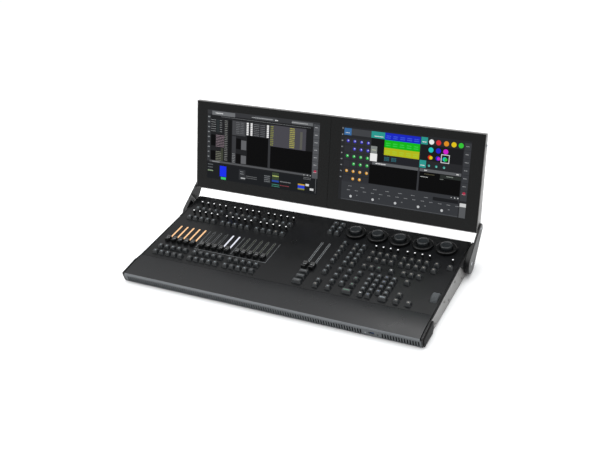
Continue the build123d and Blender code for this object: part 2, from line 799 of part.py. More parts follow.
# ---- Boards and power supply -------------------------------------------------------------
board_wall = 1.6
board_drop = 9.0          # below the deck's top
board_edge = 9.0          # board beyond the middle of its outer controls
exec_middle = (exec_x[0] + exec_x[-1]) / 2
exec_span = exec_x[-1] - exec_x[0] + 24.0
front_board = (10.0, exec_second_row + board_edge)
rear_board = (exec_key_low - board_edge, exec_knob_high + board_edge)
command_span = (program_x - board_edge, assign_x[7] + board_edge)
command_board = (10.0, program_row + board_edge)
go_board = (go_keys[1][1], 60.0)
view_board = (view_rows[1], 56.0)
boards = [
    (exec_middle, sum(front_board) / 2, exec_span, front_board[1] - front_board[0]),
    (exec_middle, sum(rear_board) / 2, exec_span, rear_board[1] - rear_board[0]),
    (aisle, go_board[0], wide_key + 6.0, go_board[1]),
    (aisle, view_board[0], 40.0, view_board[1]),
    (sum(command_span) / 2, sum(command_board) / 2, command_span[1] - command_span[0],
     command_board[1] - command_board[0]),
]
main_board = (-90.0, 250.0)         # its middle: X, and behind the bottom front edge
main_size = (220.0, 170.0)
main_inset = 6.0                    # its posts in from its edges
main_lift = 3.0                     # above the tray
post_radius = 3.0
cooler = (-90.0, 275.0)
cooler_size = 60.0
cooler_height = 9.0

with BuildPart() as circuit_boards:
    with BuildSketch(deck.offset(-board_drop)):
        for x, v, width, length in boards:
            with Locations((x, v)):
                Rectangle(width, length)
    extrude(amount=-board_wall)
    with BuildSketch(Plane.XY.offset(tray_top + main_lift)):
        with Locations((main_board[0], front_y + main_board[1])):
            Rectangle(*main_size)
    extrude(amount=board_wall)
    with BuildSketch(Plane.XY.offset(tray_top + main_lift + board_wall)):
        with Locations((cooler[0], front_y + cooler[1])):
            Rectangle(cooler_size, cooler_size)
    extrude(amount=cooler_height)
    with BuildSketch(Plane.XY.offset(tray_top)):
        with Locations((main_board[0], front_y + main_board[1])):
            with GridLocations(main_size[0] - 2 * main_inset, main_size[1] - 2 * main_inset, 2, 2):
                Circle(post_radius)
    extrude(amount=main_lift)
save(circuit_boards, "circuit_boards")

supply_size = (150.0, 88.0)
supply_height = 30.0
supply_round = 2.0
supply_place = (-inner_half + 90.0, front_y + deck_rear - 75.0)

with BuildPart() as power_supply:
    with BuildSketch(Plane.XY.offset(tray_top)):
        with Locations(supply_place):
            Rectangle(*supply_size)
    extrude(amount=supply_height)
    fillet(power_supply.edges().filter_by(Axis.Z), supply_round)
save(power_supply, "power_supply")

# ---- Arms and their pivots --------------------------------------------------------------
elbow_point = side(*elbow)
hub_point = side(*hub)

arm_frame = Plane(
    origin=(0, *hub_point), x_dir=(0, cos(lift), sin(lift)), z_dir=(0, sin(lift), -cos(lift))
)
arm_end = arm_length + 2 * arm_high_radius

for hand, name in ((-1, "arm_left"), (1, "arm_right")):
    with BuildPart() as arm:
        with BuildSketch(Plane.YZ.offset(hand * arm_inner)):
            with Locations(hub_point):
                Circle(arm_low_radius)
            with Locations(elbow_point):
                Circle(arm_high_radius)
            make_hull()
        extrude(amount=hand * (arm_outer - arm_inner))
        ends = arm.edges().group_by(Axis.X)
        fillet(ends[-1] if hand > 0 else ends[0], arm_edge)
        with BuildSketch(arm_frame):
            with BuildLine():
                Polyline(
                    (slant_start, hand * arm_inner),
                    (slant_end, hand * arm_head),
                    (arm_end, hand * arm_head),
                    (arm_end, hand * (arm_inner - cut_clear)),
                    (slant_start, hand * (arm_inner - cut_clear)),
                    close=True,
                )
            make_face()
        extrude(amount=2 * arm_low_radius, both=True, mode=Mode.SUBTRACT)
        with BuildSketch(Plane.YZ.offset(hand * arm_inner)):
            with Locations(hub_point):
                Circle(low_pin + running_fit)
            with Locations(elbow_point):
                Circle(high_pin + running_fit)
        extrude(amount=hand * (arm_outer - arm_inner), mode=Mode.SUBTRACT)
    save(arm, name)

cover_lift = 1.5          # above the cheek's bottom edge
cover_foot = foot_height + cover_lift
cover_top = lip_height + armrest_rise - cover_inset - deck_start * tan(slope)
with BuildPart() as arm_hubs:
    for hand in (-1, 1):
        with BuildSketch(Plane.YZ.offset(hand * half_body)):
            with BuildLine():
                Polyline(
                    side(hub_setback - cover_lead, cover_top + (hub_setback - cover_lead) * tan(slope)),
                    side(deck_rear, cover_top + deck_rear * tan(slope)),
                    side(deck_rear, cover_foot),
                    side(hub_setback, cover_foot),
                    close=True,
                )
            make_face()
        extrude(amount=hand * cover_wall)
        with BuildSketch(Plane.YZ.offset(hand * (half_body - cheek_wall))):
            with Locations(hub_point):
                Circle(low_pin)
        extrude(amount=hand * (arm_outer - pin_recess - half_body + cheek_wall))
save(arm_hubs, "arm_hubs")

stud_rise = monitor_height - 30.0
stud_depth = shell_top / 2 + 1.0
stud_radius = 3.2
stud_height = 2.4
with BuildPart() as monitor_pins:
    for hand in (-1, 1):
        with BuildSketch(Plane.YZ.offset(hand * (half_monitor - pin_grip))):
            with Locations(elbow_point):
                Circle(high_pin)
        extrude(amount=hand * (arm_outer - pin_recess - half_monitor + pin_grip))
        with BuildSketch(Plane.YZ.offset(hand * half_monitor)):
            with Locations(monitor_point(stud_rise, stud_depth)):
                Circle(stud_radius)
        extrude(amount=hand * stud_height)
save(monitor_pins, "monitor_pins")

# ---- Monitor -----------------------------------------------------------------------------
shell_half = half_monitor - shell_wall
with BuildPart() as monitor_shell:
    with BuildSketch(Plane.YZ.offset(-half_monitor)):
        with BuildLine():
            Polyline(
                monitor_point(0, 0),
                monitor_point(monitor_height, 0),
                monitor_point(monitor_height, shell_top),
                monitor_point(0, shell_bottom),
                close=True,
            )
        make_face()
    extrude(amount=monitor_width)
    with BuildSketch(Plane.YZ.offset(-shell_half)):
        with BuildLine():
            Polyline(
                monitor_point(shell_wall, glass_wall),
                monitor_point(monitor_height - shell_wall, glass_wall),
                monitor_point(monitor_height - shell_wall, shell_top - shell_wall),
                monitor_point(shell_wall, shell_bottom - shell_wall),
                close=True,
            )
        make_face()
    extrude(amount=2 * shell_half, mode=Mode.SUBTRACT)
    with BuildSketch(screen_plane):
        with Locations((0, monitor_height / 2)):
            Rectangle(monitor_width - 2 * rim, monitor_height - 2 * rim)
    extrude(amount=-glass_wall, mode=Mode.SUBTRACT)
    for hand in (-1, 1):
        with BuildSketch(Plane.YZ.offset(hand * half_monitor)):
            with Locations(elbow_point):
                Circle(high_pin)
        extrude(amount=-hand * shell_wall, mode=Mode.SUBTRACT)
save(monitor_shell, "monitor_shell")

glass_half = half_monitor - rim - seam / 2
with BuildPart() as screen_glass:
    with BuildSketch(screen_plane):
        for hand in (-1, 1):
            with Locations((hand * (glass_half + seam) / 2, monitor_height / 2)):
                Rectangle(glass_half - seam, monitor_height - 2 * rim - seam)
    extrude(amount=-glass_wall)
save(screen_glass, "screen_glass")

screen_x = (screen_width + screen_gap) / 2
screen_v = bottom_margin + screen_height / 2
with BuildPart() as display_panels:
    with BuildSketch(screen_plane.offset(-glass_wall)):
        with Locations((-screen_x, screen_v), (screen_x, screen_v)):
            Rectangle(screen_width, screen_height)
    extrude(amount=-panel_depth)
save(display_panels, "display_panels")
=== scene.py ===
"""Looks of the lighting control desk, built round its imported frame, in metres."""

import json
import math
import random

import bmesh
import bpy
from mathutils import Matrix, Vector


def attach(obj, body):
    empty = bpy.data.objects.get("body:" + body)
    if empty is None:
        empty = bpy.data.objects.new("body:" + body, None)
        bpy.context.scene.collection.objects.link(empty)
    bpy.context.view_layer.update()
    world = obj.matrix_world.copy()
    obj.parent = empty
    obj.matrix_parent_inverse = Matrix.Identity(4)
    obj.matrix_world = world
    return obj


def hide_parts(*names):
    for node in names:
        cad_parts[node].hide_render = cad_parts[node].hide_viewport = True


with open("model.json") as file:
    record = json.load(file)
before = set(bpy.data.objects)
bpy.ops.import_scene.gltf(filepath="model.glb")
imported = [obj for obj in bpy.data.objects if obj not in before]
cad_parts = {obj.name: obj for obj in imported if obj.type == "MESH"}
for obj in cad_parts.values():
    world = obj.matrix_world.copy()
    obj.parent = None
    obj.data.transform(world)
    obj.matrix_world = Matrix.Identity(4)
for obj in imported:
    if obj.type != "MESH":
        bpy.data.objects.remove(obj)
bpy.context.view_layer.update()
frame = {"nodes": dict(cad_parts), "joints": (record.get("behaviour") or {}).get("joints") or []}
scene = bpy.context.scene
nodes = frame["nodes"]
joints = {joint["name"]: joint for joint in frame["joints"]}
MM = 0.001


# ---- Frames of the deck and of the monitor's face ---------------------------------------
def face_frame(node, normal, up):
    """Matrix from (across, up, out) to the row frame, its origin on the face's lower edge."""
    corners = [vertex.co for vertex in nodes[node].data.vertices]
    level = max(corner.dot(normal) for corner in corners)
    start = min(corner.dot(up) for corner in corners)
    turn = Matrix((up.cross(normal), up, normal)).transposed()
    return Matrix.Translation(normal * level + up * start) @ turn.to_4x4()


deck_up = Vector(joints["executor_fader_01_slide"]["axis"])
deck_normal = -Vector(joints["number_keys_press"]["axis"])
deck = face_frame("deck_panel", deck_normal, deck_up)

glass_corners = [vertex.co for vertex in nodes["screen_glass"].data.vertices]
glass_foot = min(glass_corners, key=lambda corner: corner.y)
glass_head = max(glass_corners, key=lambda corner: corner.z)
glass_up = Vector((0, glass_head.y - glass_foot.y, glass_head.z - glass_foot.z)).normalized()
glass = face_frame("screen_glass", Vector((0, -glass_up.z, glass_up.y)), glass_up)


def loose_parts(node, place):
    """Boxes (low, high) of a node's separate solids, along the axes of place, in order."""
    work = bmesh.new()
    work.from_mesh(nodes[node].data)
    bmesh.ops.remove_doubles(work, verts=work.verts, dist=0.001 * MM)
    flat = place.inverted()
    boxes = []
    waiting = set(work.verts)
    while waiting:
        front = [waiting.pop()]
        corners = []
        while front:
            vertex = front.pop()
            corners.append(flat @ vertex.co)
            for edge in vertex.link_edges:
                other = edge.other_vert(vertex)
                if other in waiting:
                    waiting.discard(other)
                    front.append(other)
        low = Vector([min(corner[i] for corner in corners) for i in range(3)])
        high = Vector([max(corner[i] for corner in corners) for i in range(3)])
        boxes.append((low, high))
    work.free()
    return sorted(boxes, key=lambda pair: (round(pair[0].y, 4), round(pair[0].x, 4)))


# ---- Materials --------------------------------------------------------------------------
def linear(hex_colour):
    """An sRGB hex colour as linear RGBA."""
    values = [int(hex_colour[i:i + 2], 16) / 255 for i in (1, 3, 5)]
    bent = [v / 12.92 if v <= 0.04045 else ((v + 0.055) / 1.055) ** 2.4 for v in values]
    return (*bent, 1.0)


def add(tree, kind, inputs=None, **settings):
    """Adds a node with its settings; an input takes a value, or a socket to link from."""
    node = tree.nodes.new(kind)
    for name, value in settings.items():
        setattr(node, name, value)
    for name, value in (inputs or {}).items():
        if isinstance(value, bpy.types.NodeSocket):
            tree.links.new(value, node.inputs[name])
        else:
            node.inputs[name].default_value = value
    return node


def base_finish(name, colour, roughness, metallic=0.0, **more):
    """A material with its shader's plain values set; returns it, its tree, shader and place."""
    material = bpy.data.materials.new(name)
    material.use_nodes = True
    tree = material.node_tree
    shader = tree.nodes["Principled BSDF"]
    values = {"Base Color": linear(colour), "Roughness": roughness, "Metallic": metallic, **more}
    for key, value in values.items():
        shader.inputs[key].default_value = value
    place = add(tree, "ShaderNodeTexCoord").outputs["Object"]
    return material, tree, shader, place


def grained(finish, grain, depth, spread=0.0, detail=2.0):
    """Adds a grain of that size in mm to a finish: bump, and roughness spread about its value."""
    material, tree, shader, place = finish
    noise = add(tree, "ShaderNodeTexNoise",
                {"Vector": place, "Scale": 1000 / grain, "Detail": detail, "Roughness": 0.6})
    bump = add(tree, "ShaderNodeBump",
               {"Height": noise.outputs["Fac"], "Strength": depth, "Distance": grain * 0.1 * MM})
    tree.links.new(bump.outputs["Normal"], shader.inputs["Normal"])
    if spread:
        middle = shader.inputs["Roughness"].default_value
        cloud = add(tree, "ShaderNodeTexNoise", {"Vector": place, "Scale": 22.0, "Detail": 4.0})
        change = add(tree, "ShaderNodeMapRange", {
            "Value": cloud.outputs["Fac"], "From Min": 0.3, "From Max": 0.7,
            "To Min": middle - spread, "To Max": middle + spread})
        tree.links.new(change.outputs["Result"], shader.inputs["Roughness"])
    return material


def toned(finish, other, grain):
    """Mottles a finish's colour towards another one, in patches of that size in mm."""
    material, tree, shader, place = finish
    patches = add(tree, "ShaderNodeTexNoise", {"Vector": place, "Scale": 1000 / grain, "Detail": 3.0})
    mix = add(tree, "ShaderNodeMix", {"Factor": patches.outputs["Fac"]}, data_type="RGBA")
    mix.inputs["A"].default_value = shader.inputs["Base Color"].default_value
    mix.inputs["B"].default_value = linear(other)
    tree.links.new(mix.outputs["Result"], shader.inputs["Base Color"])
    return finish


def finish(name, colour, roughness, grain, depth, spread=0.0, metallic=0.0, tone=None, patch=0, **more):
    """A finish with its grain in mm, mottled towards another tone in patches of that size."""
    made = base_finish(name, colour, roughness, metallic, **more)
    if tone:
        toned(made, tone, patch)
    return grained(made, grain, depth, spread)


def lit_finish(name, strength, roughness=0.3, dark="#1a1a1a", ior=1.45):
    """A surface that glows in the piece's own glow colour: lit acrylic, displays, and the painted
    highlight on the knob tops.
    """
    material, tree, shader, place = base_finish(name, dark, roughness, IOR=ior)
    glow = add(tree, "ShaderNodeAttribute", attribute_name="glow")
    grain = add(tree, "ShaderNodeTexNoise", {"Vector": place, "Scale": 1500.0, "Detail": 1.0})
    shade = add(tree, "ShaderNodeMix", {"Factor": 0.06, "A": glow.outputs["Color"]}, data_type="RGBA",
                blend_type="MULTIPLY")
    tree.links.new(grain.outputs["Color"], shade.inputs["B"])
    tree.links.new(shade.outputs["Result"], shader.inputs["Emission Color"])
    shader.inputs["Emission Strength"].default_value = strength
    return material


def screen_print(name, colour):
    """Screen-printed ink: matt and flat, thinning slightly at random."""
    return grained(toned(base_finish(name, colour, 0.6), "#3c3f41", 2), 0.4, 0.2)


def mill_aluminium():
    """Mill-finish aluminium of the power supply's case, drawn out along X."""
    material, tree, shader, place = base_finish("mill_finish_aluminium", "#a3a6a8", 0.38, 1.0)
    drawn = add(tree, "ShaderNodeMapping", {"Vector": place, "Scale": (0.04, 1.0, 1.0)})
    return grained((material, tree, shader, drawn.outputs["Vector"]), 0.8, 0.3)


def solder_mask():
    """Green solder mask over copper tracks 0.5 mm wide: lighter lines in a square mesh."""
    material, tree, shader, place = base_finish("solder_mask_laminate", "#0b3a1d", 0.32)
    tracks = add(tree, "ShaderNodeTexBrick", {
        "Vector": place, "Scale": 1.0, "Color1": linear("#0b3a1d"), "Color2": linear("#0d4422"),
        "Mortar": linear("#1f6a35"), "Mortar Size": 0.5 * MM, "Brick Width": 17 * MM,
        "Row Height": 6 * MM})
    tree.links.new(tracks.outputs["Color"], shader.inputs["Base Color"])
    return material


# Satin black powder coat on sheet aluminium: a fine even grain that softens reflections.
DECK = finish("satin_black_powder_coat", "#090a0b", 0.3, 0.9, 0.12, 0.03, tone="#0e0f11", patch=45,
              IOR=1.29)
# Soft-touch paint over a bent sheet: smoother than the deck, with a wide soft highlight.
ARMREST = finish("soft_touch_paint", "#0a0b0d", 0.3, 0.7, 0.1, 0.04, tone="#0f1114", patch=60,
                 IOR=1.38)
# Matt black powder coat on steel: coarser orange peel, hardly any reflection.
CASE = finish("matt_black_powder_coat", "#0e0f10", 0.55, 1.4, 0.35, 0.05, IOR=1.35)
# Satin dark grey paint on punched steel.
GRILLE = finish("satin_grey_stoved_enamel", "#4a4e51", 0.42, 0.8, 0.12, 0.04)
# Bead-blasted, anodised aluminium: grey metal with a fine even sparkle and no direction.
ALUMINIUM = finish("bead_blasted_anodised_aluminium", "#8e8d8c", 0.46, 0.5, 0.25, 0.05,
                   metallic=1.0, tone="#807f7e", patch=30)
# Black anodised edge of the side panels: dark and matt, with a faint metallic sheen.
EDGING = finish("black_anodised_edge", "#08090a", 0.42, 0.6, 0.2, 0.04, IOR=1.35)
# Textured thermoplastic rubber of the corner guards: a leathery moulded grain.
MOULDING = finish("textured_thermoplastic_rubber", "#060606", 0.6, 1.2, 0.6, 0.05, IOR=1.25)
# Moulded ABS with a spark-eroded grain: satin, a little lighter than the deck.
KEY = finish("spark_eroded_abs", "#191b1d", 0.34, 0.35, 0.25, 0.05, tone="#232628", patch=9)
# Moulded ABS, smoother and darker, for knobs and fader caps.
KNOB = finish("moulded_black_abs", "#0e0f10", 0.36, 0.4, 0.2, 0.04, IOR=1.4)
# Moulded black ABS of the encoder rings, satin on top.
RING = finish("satin_black_abs", "#090a0b", 0.3, 0.6, 0.15, 0.04, IOR=1.32)
# Satin lacquer on the turned dials: dark grey, smooth enough to flash along cut edges.
DIAL = finish("satin_dial_lacquer", "#1d2022", 0.3, 0.5, 0.06, 0.03, IOR=1.34)
# Moulded rubber tyre of the level wheel.
TYRE = finish("moulded_rubber", "#3a3e41", 0.6, 0.8, 0.4, 0.05)
# Semi-gloss black paint on cast aluminium, smooth enough for long highlights.
ARM = finish("semi_gloss_black_paint", "#0c0d0e", 0.34, 1.1, 0.15, 0.04, IOR=1.34)
# Soft black rubber of the feet: matt, with moulding specks.
RUBBER = finish("soft_foot_rubber", "#0e0e0f", 0.8, 1.0, 0.5, 0.06)
# Glass-filled nylon of the socket bodies: matt black with a faint mottle.
NYLON = finish("glass_filled_nylon", "#0d0e0f", 0.5, 0.6, 0.3, tone="#161718", patch=3)
# Chemically blackened screw steel: dark metal with oily lighter patches.
BLACK_STEEL = finish("blackened_steel", "#1d1e20", 0.38, 0.5, 0.2, metallic=1.0, tone="#3a3c3f",
                     patch=2)
# Turned and polished steel of the pivots and socket pins.
BRIGHT_STEEL = finish("turned_steel", "#a9adb1", 0.25, 0.4, 0.15, 0.05, metallic=1.0)
# Zinc-plated steel of the fader and encoder housings: pale metal with soft spangles.
ZINC = finish("zinc_plated_steel", "#8e9294", 0.35, 1.0, 0.15, 0.08, metallic=1.0, tone="#b4b8b9",
              patch=8)
# Hardened cover glass with a black backing: near black, with clear reflections.
GLASS = finish("black_backed_touch_glass", "#060707", 0.18, 60, 0.02, 0.02, IOR=1.3)
# Open-cell foam of the dust filter, dead black and pitted: painted shade for what is seen through the
# grille's slots and in the reset hole.
FOAM_PAINTED_SHADE = finish("filter_foam_painted_shade", "#050505", 0.95, 1.2, 0.8, IOR=1.2)
# Lighter grey metal on the armrest's front face, between its paint and the grille: a painted highlight
# for the bright line along the lip.
LIP_PAINTED_HIGHLIGHT = finish("painted_lip_highlight", "#66696c", 0.35, 0.8, 0.1, 0.04, metallic=0.4)
# Blue moulded nylon of the port's tongue.
BLUE_PLASTIC = finish("blue_moulded_insert", "#6d9ce8", 0.35, 0.4, 0.1)
# Gold plating of the socket contacts.
GOLD = finish("gold_plated_contact", "#c9a24a", 0.3, 0.4, 0.1, metallic=1.0)
# A plain pale studio floor.
FLOOR = finish("pale_studio_floor", "#f4f5f6", 0.75, 4, 0.02)
RAW_ALUMINIUM = mill_aluminium()
BOARD = solder_mask()
KEY_LIGHT = lit_finish("lit_key_legend", 1.6)
# The knob tops' glow is a painted highlight.
KNOB_HIGHLIGHT_GLOW = lit_finish("painted_knob_top_highlight", 1.6)
BAR_LIGHT = lit_finish("lit_acrylic_bar", 1.25)
DISPLAY = lit_finish("lit_display", 0.85, 0.16, "#020202", 1.12)
INK = screen_print("grey_screen_print", "#8d9193")
WHITE_INK = screen_print("white_screen_print", "#c9cccd")


# ---- Making pieces ------------------------------------------------------------------------
def piece(name, mesh, body, slot, *materials, stands_for=()):
    """A finished mesh as a piece of the object, riding on its body."""
    made = bpy.data.objects.new(name, mesh)
    scene.collection.objects.link(made)
    if materials:
        picks = [face.material_index for face in mesh.polygons]
        mesh.materials.clear()
        for material in materials:
            mesh.materials.append(material)
        mesh.polygons.foreach_set("material_index", picks)
    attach(made, body)
    if stands_for:
        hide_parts(*stands_for)
    return made


def mesh_of(work, place=None, sharp=40):
    """A plain mesh from a bmesh, with smooth shading broken at sharp edges."""
    if place:
        work.transform(place)
    bmesh.ops.recalc_face_normals(work, faces=work.faces)
    mesh = bpy.data.meshes.new("made")
    work.to_mesh(mesh)
    work.free()
    mesh.shade_smooth()
    mesh.set_sharp_from_angle(angle=math.radians(sharp))
    return mesh


def rounded_over(mesh, radius, segments=3, angle=35):
    """The mesh with its sharp edges rounded to that radius in mm."""
    rough = bpy.data.objects.new("rough", mesh)
    scene.collection.objects.link(rough)
    bevel = rough.modifiers.new("edges", "BEVEL")
    bevel.width = radius * MM
    bevel.segments = segments
    bevel.limit_method = "ANGLE"
    bevel.angle_limit = math.radians(angle)
    bevel.harden_normals = True
    bpy.context.view_layer.update()
    done = bpy.data.meshes.new_from_object(rough.evaluated_get(bpy.context.evaluated_depsgraph_get()))
    bpy.data.objects.remove(rough)
    return done


def softened(node, body, slot, material, radius, segments=3, other=None, takes_other=None):
    """A CAD node's shape, flat faces rejoined and edges rounded; some faces take another finish."""
    work = bmesh.new()
    work.from_mesh(nodes[node].data)
    bmesh.ops.remove_doubles(work, verts=work.verts, dist=0.001 * MM)
    bmesh.ops.dissolve_limit(work, angle_limit=math.radians(0.5), verts=work.verts, edges=work.edges)
    faces = [[vertex.index for vertex in face.verts] for face in work.faces]
    corners = [vertex.co.copy() for vertex in work.verts]
    work.free()
    plain = bpy.data.meshes.new(node)
    plain.from_pydata(corners, [], faces)
    plain.shade_smooth()
    plain.set_sharp_from_angle(angle=math.radians(30))
    mesh = rounded_over(plain, radius, segments)
    if not other:
        return piece(node + "_finished", mesh, body, slot, material, stands_for=[node])
    for face in mesh.polygons:
        face.material_index = int(takes_other(face))
    return piece(node + "_finished", mesh, body, slot, material, other, stands_for=[node])


def lathe(work, profile, turns=64, flutes=None):
    """Turns a profile of (radius, height) in mm about the out axis; flutes = (rows, depth)."""
    rows, depth = flutes or ((), 0)
    rings = []
    for row, (radius, height) in enumerate(profile):
        if radius == 0:
            rings.append([work.verts.new((0, 0, height * MM))])
            continue
        ring = []
        for i in range(turns):
            cut = depth if row in rows and i % 4 in (2, 3) else 0
            angle = 2 * math.pi * i / turns
            reach = (radius - cut) * MM
            ring.append(work.verts.new((reach * math.cos(angle), reach * math.sin(angle), height * MM)))
        rings.append(ring)
    closed = profile[0][0] != 0
    last = len(rings) if closed else len(rings) - 1
    for row in range(last):
        low, high = rings[row], rings[(row + 1) % len(rings)]
        for i in range(turns):
            j = (i + 1) % turns
            loop = [low[i % len(low)], low[j % len(low)], high[j % len(high)], high[i % len(high)]]
            work.faces.new(list(dict.fromkeys(loop)))
    return rings


def rounded_box(half_x, half_y, corner, steps=4):
    """Points of a rounded rectangle, in mm, counter-clockwise."""
    points = []
    for quarter, (sx, sy) in enumerate(((1, 1), (-1, 1), (-1, -1), (1, -1))):
        for step in range(steps + 1):
            angle = math.radians(90 * (quarter + step / steps))
            x = sx * (half_x - corner) + corner * math.cos(angle)
            y = sy * (half_y - corner) + corner * math.sin(angle)
            points.append((x, y))
    return points


def stack(work, levels, lit_levels=()):
    """Skins a stack of rounded rectangles (half_x, half_y, corner, height) and caps its ends."""
    lit = work.faces.layers.bool.get("lit") or work.faces.layers.bool.new("lit")
    rings = [
        [work.verts.new((x * MM, y * MM, height * MM)) for x, y in rounded_box(half_x, half_y, corner)]
        for half_x, half_y, corner, height in levels
    ]
    for row, (low, high) in enumerate(zip(rings, rings[1:])):
        for i in range(len(low)):
            j = (i + 1) % len(low)
            face = work.faces.new((low[i], low[j], high[j], high[i]))
            face[lit] = row in lit_levels
    work.faces.new(list(reversed(rings[0])))
    work.faces.new(rings[-1])[lit] = len(rings) - 1 in lit_levels
    return rings


def repeat_tree():
    """Geometry Nodes: sets a piece on every place, widens it there, and gives it its finishes."""
    tree = bpy.data.node_groups.new("repeat_on_places", "GeometryNodeTree")
    face = tree.interface
    for name, kind in (("Places", "Geometry"), ("Piece", "Object"), ("Finish", "Material"),
                       ("Lit Finish", "Material"), ("Size", "Float")):
        face.new_socket(name, in_out="INPUT", socket_type="NodeSocket" + kind)
    face.new_socket("Result", in_out="OUTPUT", socket_type="NodeSocketGeometry")
    given = add(tree, "NodeGroupInput").outputs
    source = add(tree, "GeometryNodeObjectInfo", {"Object": given["Piece"]})
    spread = add(tree, "GeometryNodeInstanceOnPoints", {
        "Points": given["Places"], "Instance": source.outputs["Geometry"], "Scale": given["Size"]})
    solid = add(tree, "GeometryNodeRealizeInstances", {"Geometry": spread.outputs["Instances"]})
    side = add(tree, "GeometryNodeInputNamedAttribute", {"Name": "side"}, data_type="FLOAT")
    extra = add(tree, "GeometryNodeInputNamedAttribute", {"Name": "extra"}, data_type="FLOAT")
    reach = add(tree, "ShaderNodeMath", {0: side.outputs["Attribute"], 1: extra.outputs["Attribute"]},
                operation="MULTIPLY")
    shift = add(tree, "ShaderNodeCombineXYZ", {"X": reach.outputs["Value"]})
    wide = add(tree, "GeometryNodeSetPosition", {
        "Geometry": solid.outputs["Geometry"], "Offset": shift.outputs["Vector"]})
    lit = add(tree, "GeometryNodeInputNamedAttribute", {"Name": "lit"}, data_type="BOOLEAN")
    plain = add(tree, "GeometryNodeSetMaterial", {
        "Geometry": wide.outputs["Geometry"], "Material": given["Finish"]})
    glowing = add(tree, "GeometryNodeSetMaterial", {
        "Geometry": plain.outputs["Geometry"], "Selection": lit.outputs["Attribute"],
        "Material": given["Lit Finish"]})
    add(tree, "NodeGroupOutput", {"Result": glowing.outputs["Geometry"]})
    return tree


REPEAT = repeat_tree()


def repeated(name, work, place, spots, plain, lit, body, slot, stands_for=(), sharp=40):
    """One mesh of a shape set at every spot (across, up, extra half width, glow colour)."""
    turn = place.to_3x3().to_4x4()
    side = work.verts.layers.float.new("side")
    for vertex in work.verts:
        vertex[side] = 0 if abs(vertex.co.x) < 0.01 * MM else math.copysign(1, vertex.co.x)
    pattern = bpy.data.objects.new("pattern", mesh_of(work, turn, sharp))
    points = bpy.data.meshes.new("places")
    points.from_pydata([place @ Vector((spot[0], spot[1], 0)) for spot in spots], [], [])
    extra = points.attributes.new("extra", "FLOAT", "POINT")
    glow = points.attributes.new("glow", "FLOAT_COLOR", "POINT")
    for i, spot in enumerate(spots):
        extra.data[i].value = spot[2]
        glow.data[i].color = spot[3]
    holder = bpy.data.objects.new("holder", points)
    for made in (pattern, holder):
        scene.collection.objects.link(made)
    modifier = holder.modifiers.new("repeat", "NODES")
    modifier.node_group = REPEAT
    inputs = {"Piece": pattern, "Finish": plain, "Lit Finish": lit, "Size": 1.0}
    for key, value in inputs.items():
        modifier[REPEAT.interface.items_tree[key].identifier] = value
    bpy.context.view_layer.update()
    graph = bpy.context.evaluated_depsgraph_get()
    mesh = bpy.data.meshes.new_from_object(holder.evaluated_get(graph), depsgraph=graph)
    for made in (pattern, holder):
        bpy.data.objects.remove(made)
    return piece(name, mesh, body, slot, stands_for=stands_for)


def spots_of(node):
    """Middles and half widths of a block's separate keys or knobs on the deck."""
    return [((low.x + high.x) / 2, (low.y + high.y) / 2, (high.x - low.x) / 2)
            for low, high in loose_parts(node, deck)]


# ---- Keys -----------------------------------------------------------------------------------
random.seed(7)
KEY_HALF = min(spot[2] for spot in spots_of("number_keys")) / MM
KEY_TOP = max(box[1].z for box in loose_parts("number_keys", deck)) / MM
WARM, COOL, WHITE, FAINT = "#a29c90", "#95a2a9", "#f2f4f5", "#5f6466"
GREEN, BLUE = "#5c8a6e", "#6c7b98"


def key_shape(dash=2.0):
    """A tapered cap with rounded corners, a shallow dished top and a lit dash on it."""
    work = bmesh.new()
    half, top = KEY_HALF, KEY_TOP
    stack(work, [
        (half - 0.2, half - 0.2, 1.6, -3.8), (half, half, 1.8, -3.4), (half, half, 1.8, 0.9),
        (half - 0.25, half - 0.25, 1.8, 1.5), (half - 2.0, half - 2.0, 2.0, top - 1.2),
        (half - 2.3, half - 2.3, 2.0, top - 0.45), (half - 2.75, half - 2.75, 1.9, top - 0.06),
        (half - 3.2, half - 3.2, 1.8, top - 0.02), (half - 3.9, half - 3.9, 1.4, top - 0.18),
        (half - 5.0, half - 5.0, 0.9, top - 0.3),
    ])
    stack(work, [(dash, 0.68, 0.5, top - 0.4), (dash, 0.68, 0.5, top - 0.1),
                 (dash - 0.1, 0.58, 0.42, top - 0.04)], lit_levels=(1, 2))
    return work


def key_glow(block, order):
    """The dash colour of each key: mostly cool white, with a few coloured or bright ones."""
    if block == "number_keys":
        return linear(WHITE) if order == 0 else linear(BLUE if order % 4 == 1 else COOL)
    if block == "executor_keys_front":
        return linear(FAINT if random.random() < 0.3 else COOL)
    if block == "go_keys":
        return linear(FAINT)
    if block == "command_keys":
        return linear(GREEN if order in (1, 4, 7) else COOL)
    if block == "macro_keys":
        return linear(WHITE if order == 7 else GREEN if order == 6 else WARM)
    return linear(COOL if random.random() < 0.8 else WARM)


for block in ("executor_keys_rear", "executor_keys_front", "go_keys", "program_keys",
              "command_keys", "number_keys", "macro_keys"):
    spots = [(x, v, half - KEY_HALF * MM, key_glow(block, order))
             for order, (x, v, half) in enumerate(spots_of(block))]
    repeated(block + "_caps", key_shape(), deck, spots, KEY, KEY_LIGHT, block, "key_plastic",
             stands_for=[block])


# ---- Knobs ----------------------------------------------------------------------------------
def knob_shape():
    """A fluted post with a narrower collar and a glowing disc let into its top, a painted highlight."""
    work = bmesh.new()
    profile = [(0, -4.5), (3.0, -4.5), (3.1, -4.3), (3.1, 0.5), (3.1, 1.2), (2.75, 1.5), (2.75, 2.1),
               (3.1, 2.5), (3.1, 10.3), (2.9, 11.0), (2.5, 11.4), (1.95, 11.5), (1.9, 11.3),
               (1.85, 11.5), (1.2, 11.62), (0, 11.66)]
    lathe(work, profile, turns=48, flutes=((7, 8), 0.22))
    lit = work.faces.layers.bool.new("lit")
    for face in work.faces:
        middle = face.calc_center_median()
        face[lit] = middle.z > 11.3 * MM and math.hypot(middle.x, middle.y) < 1.88 * MM
    return work
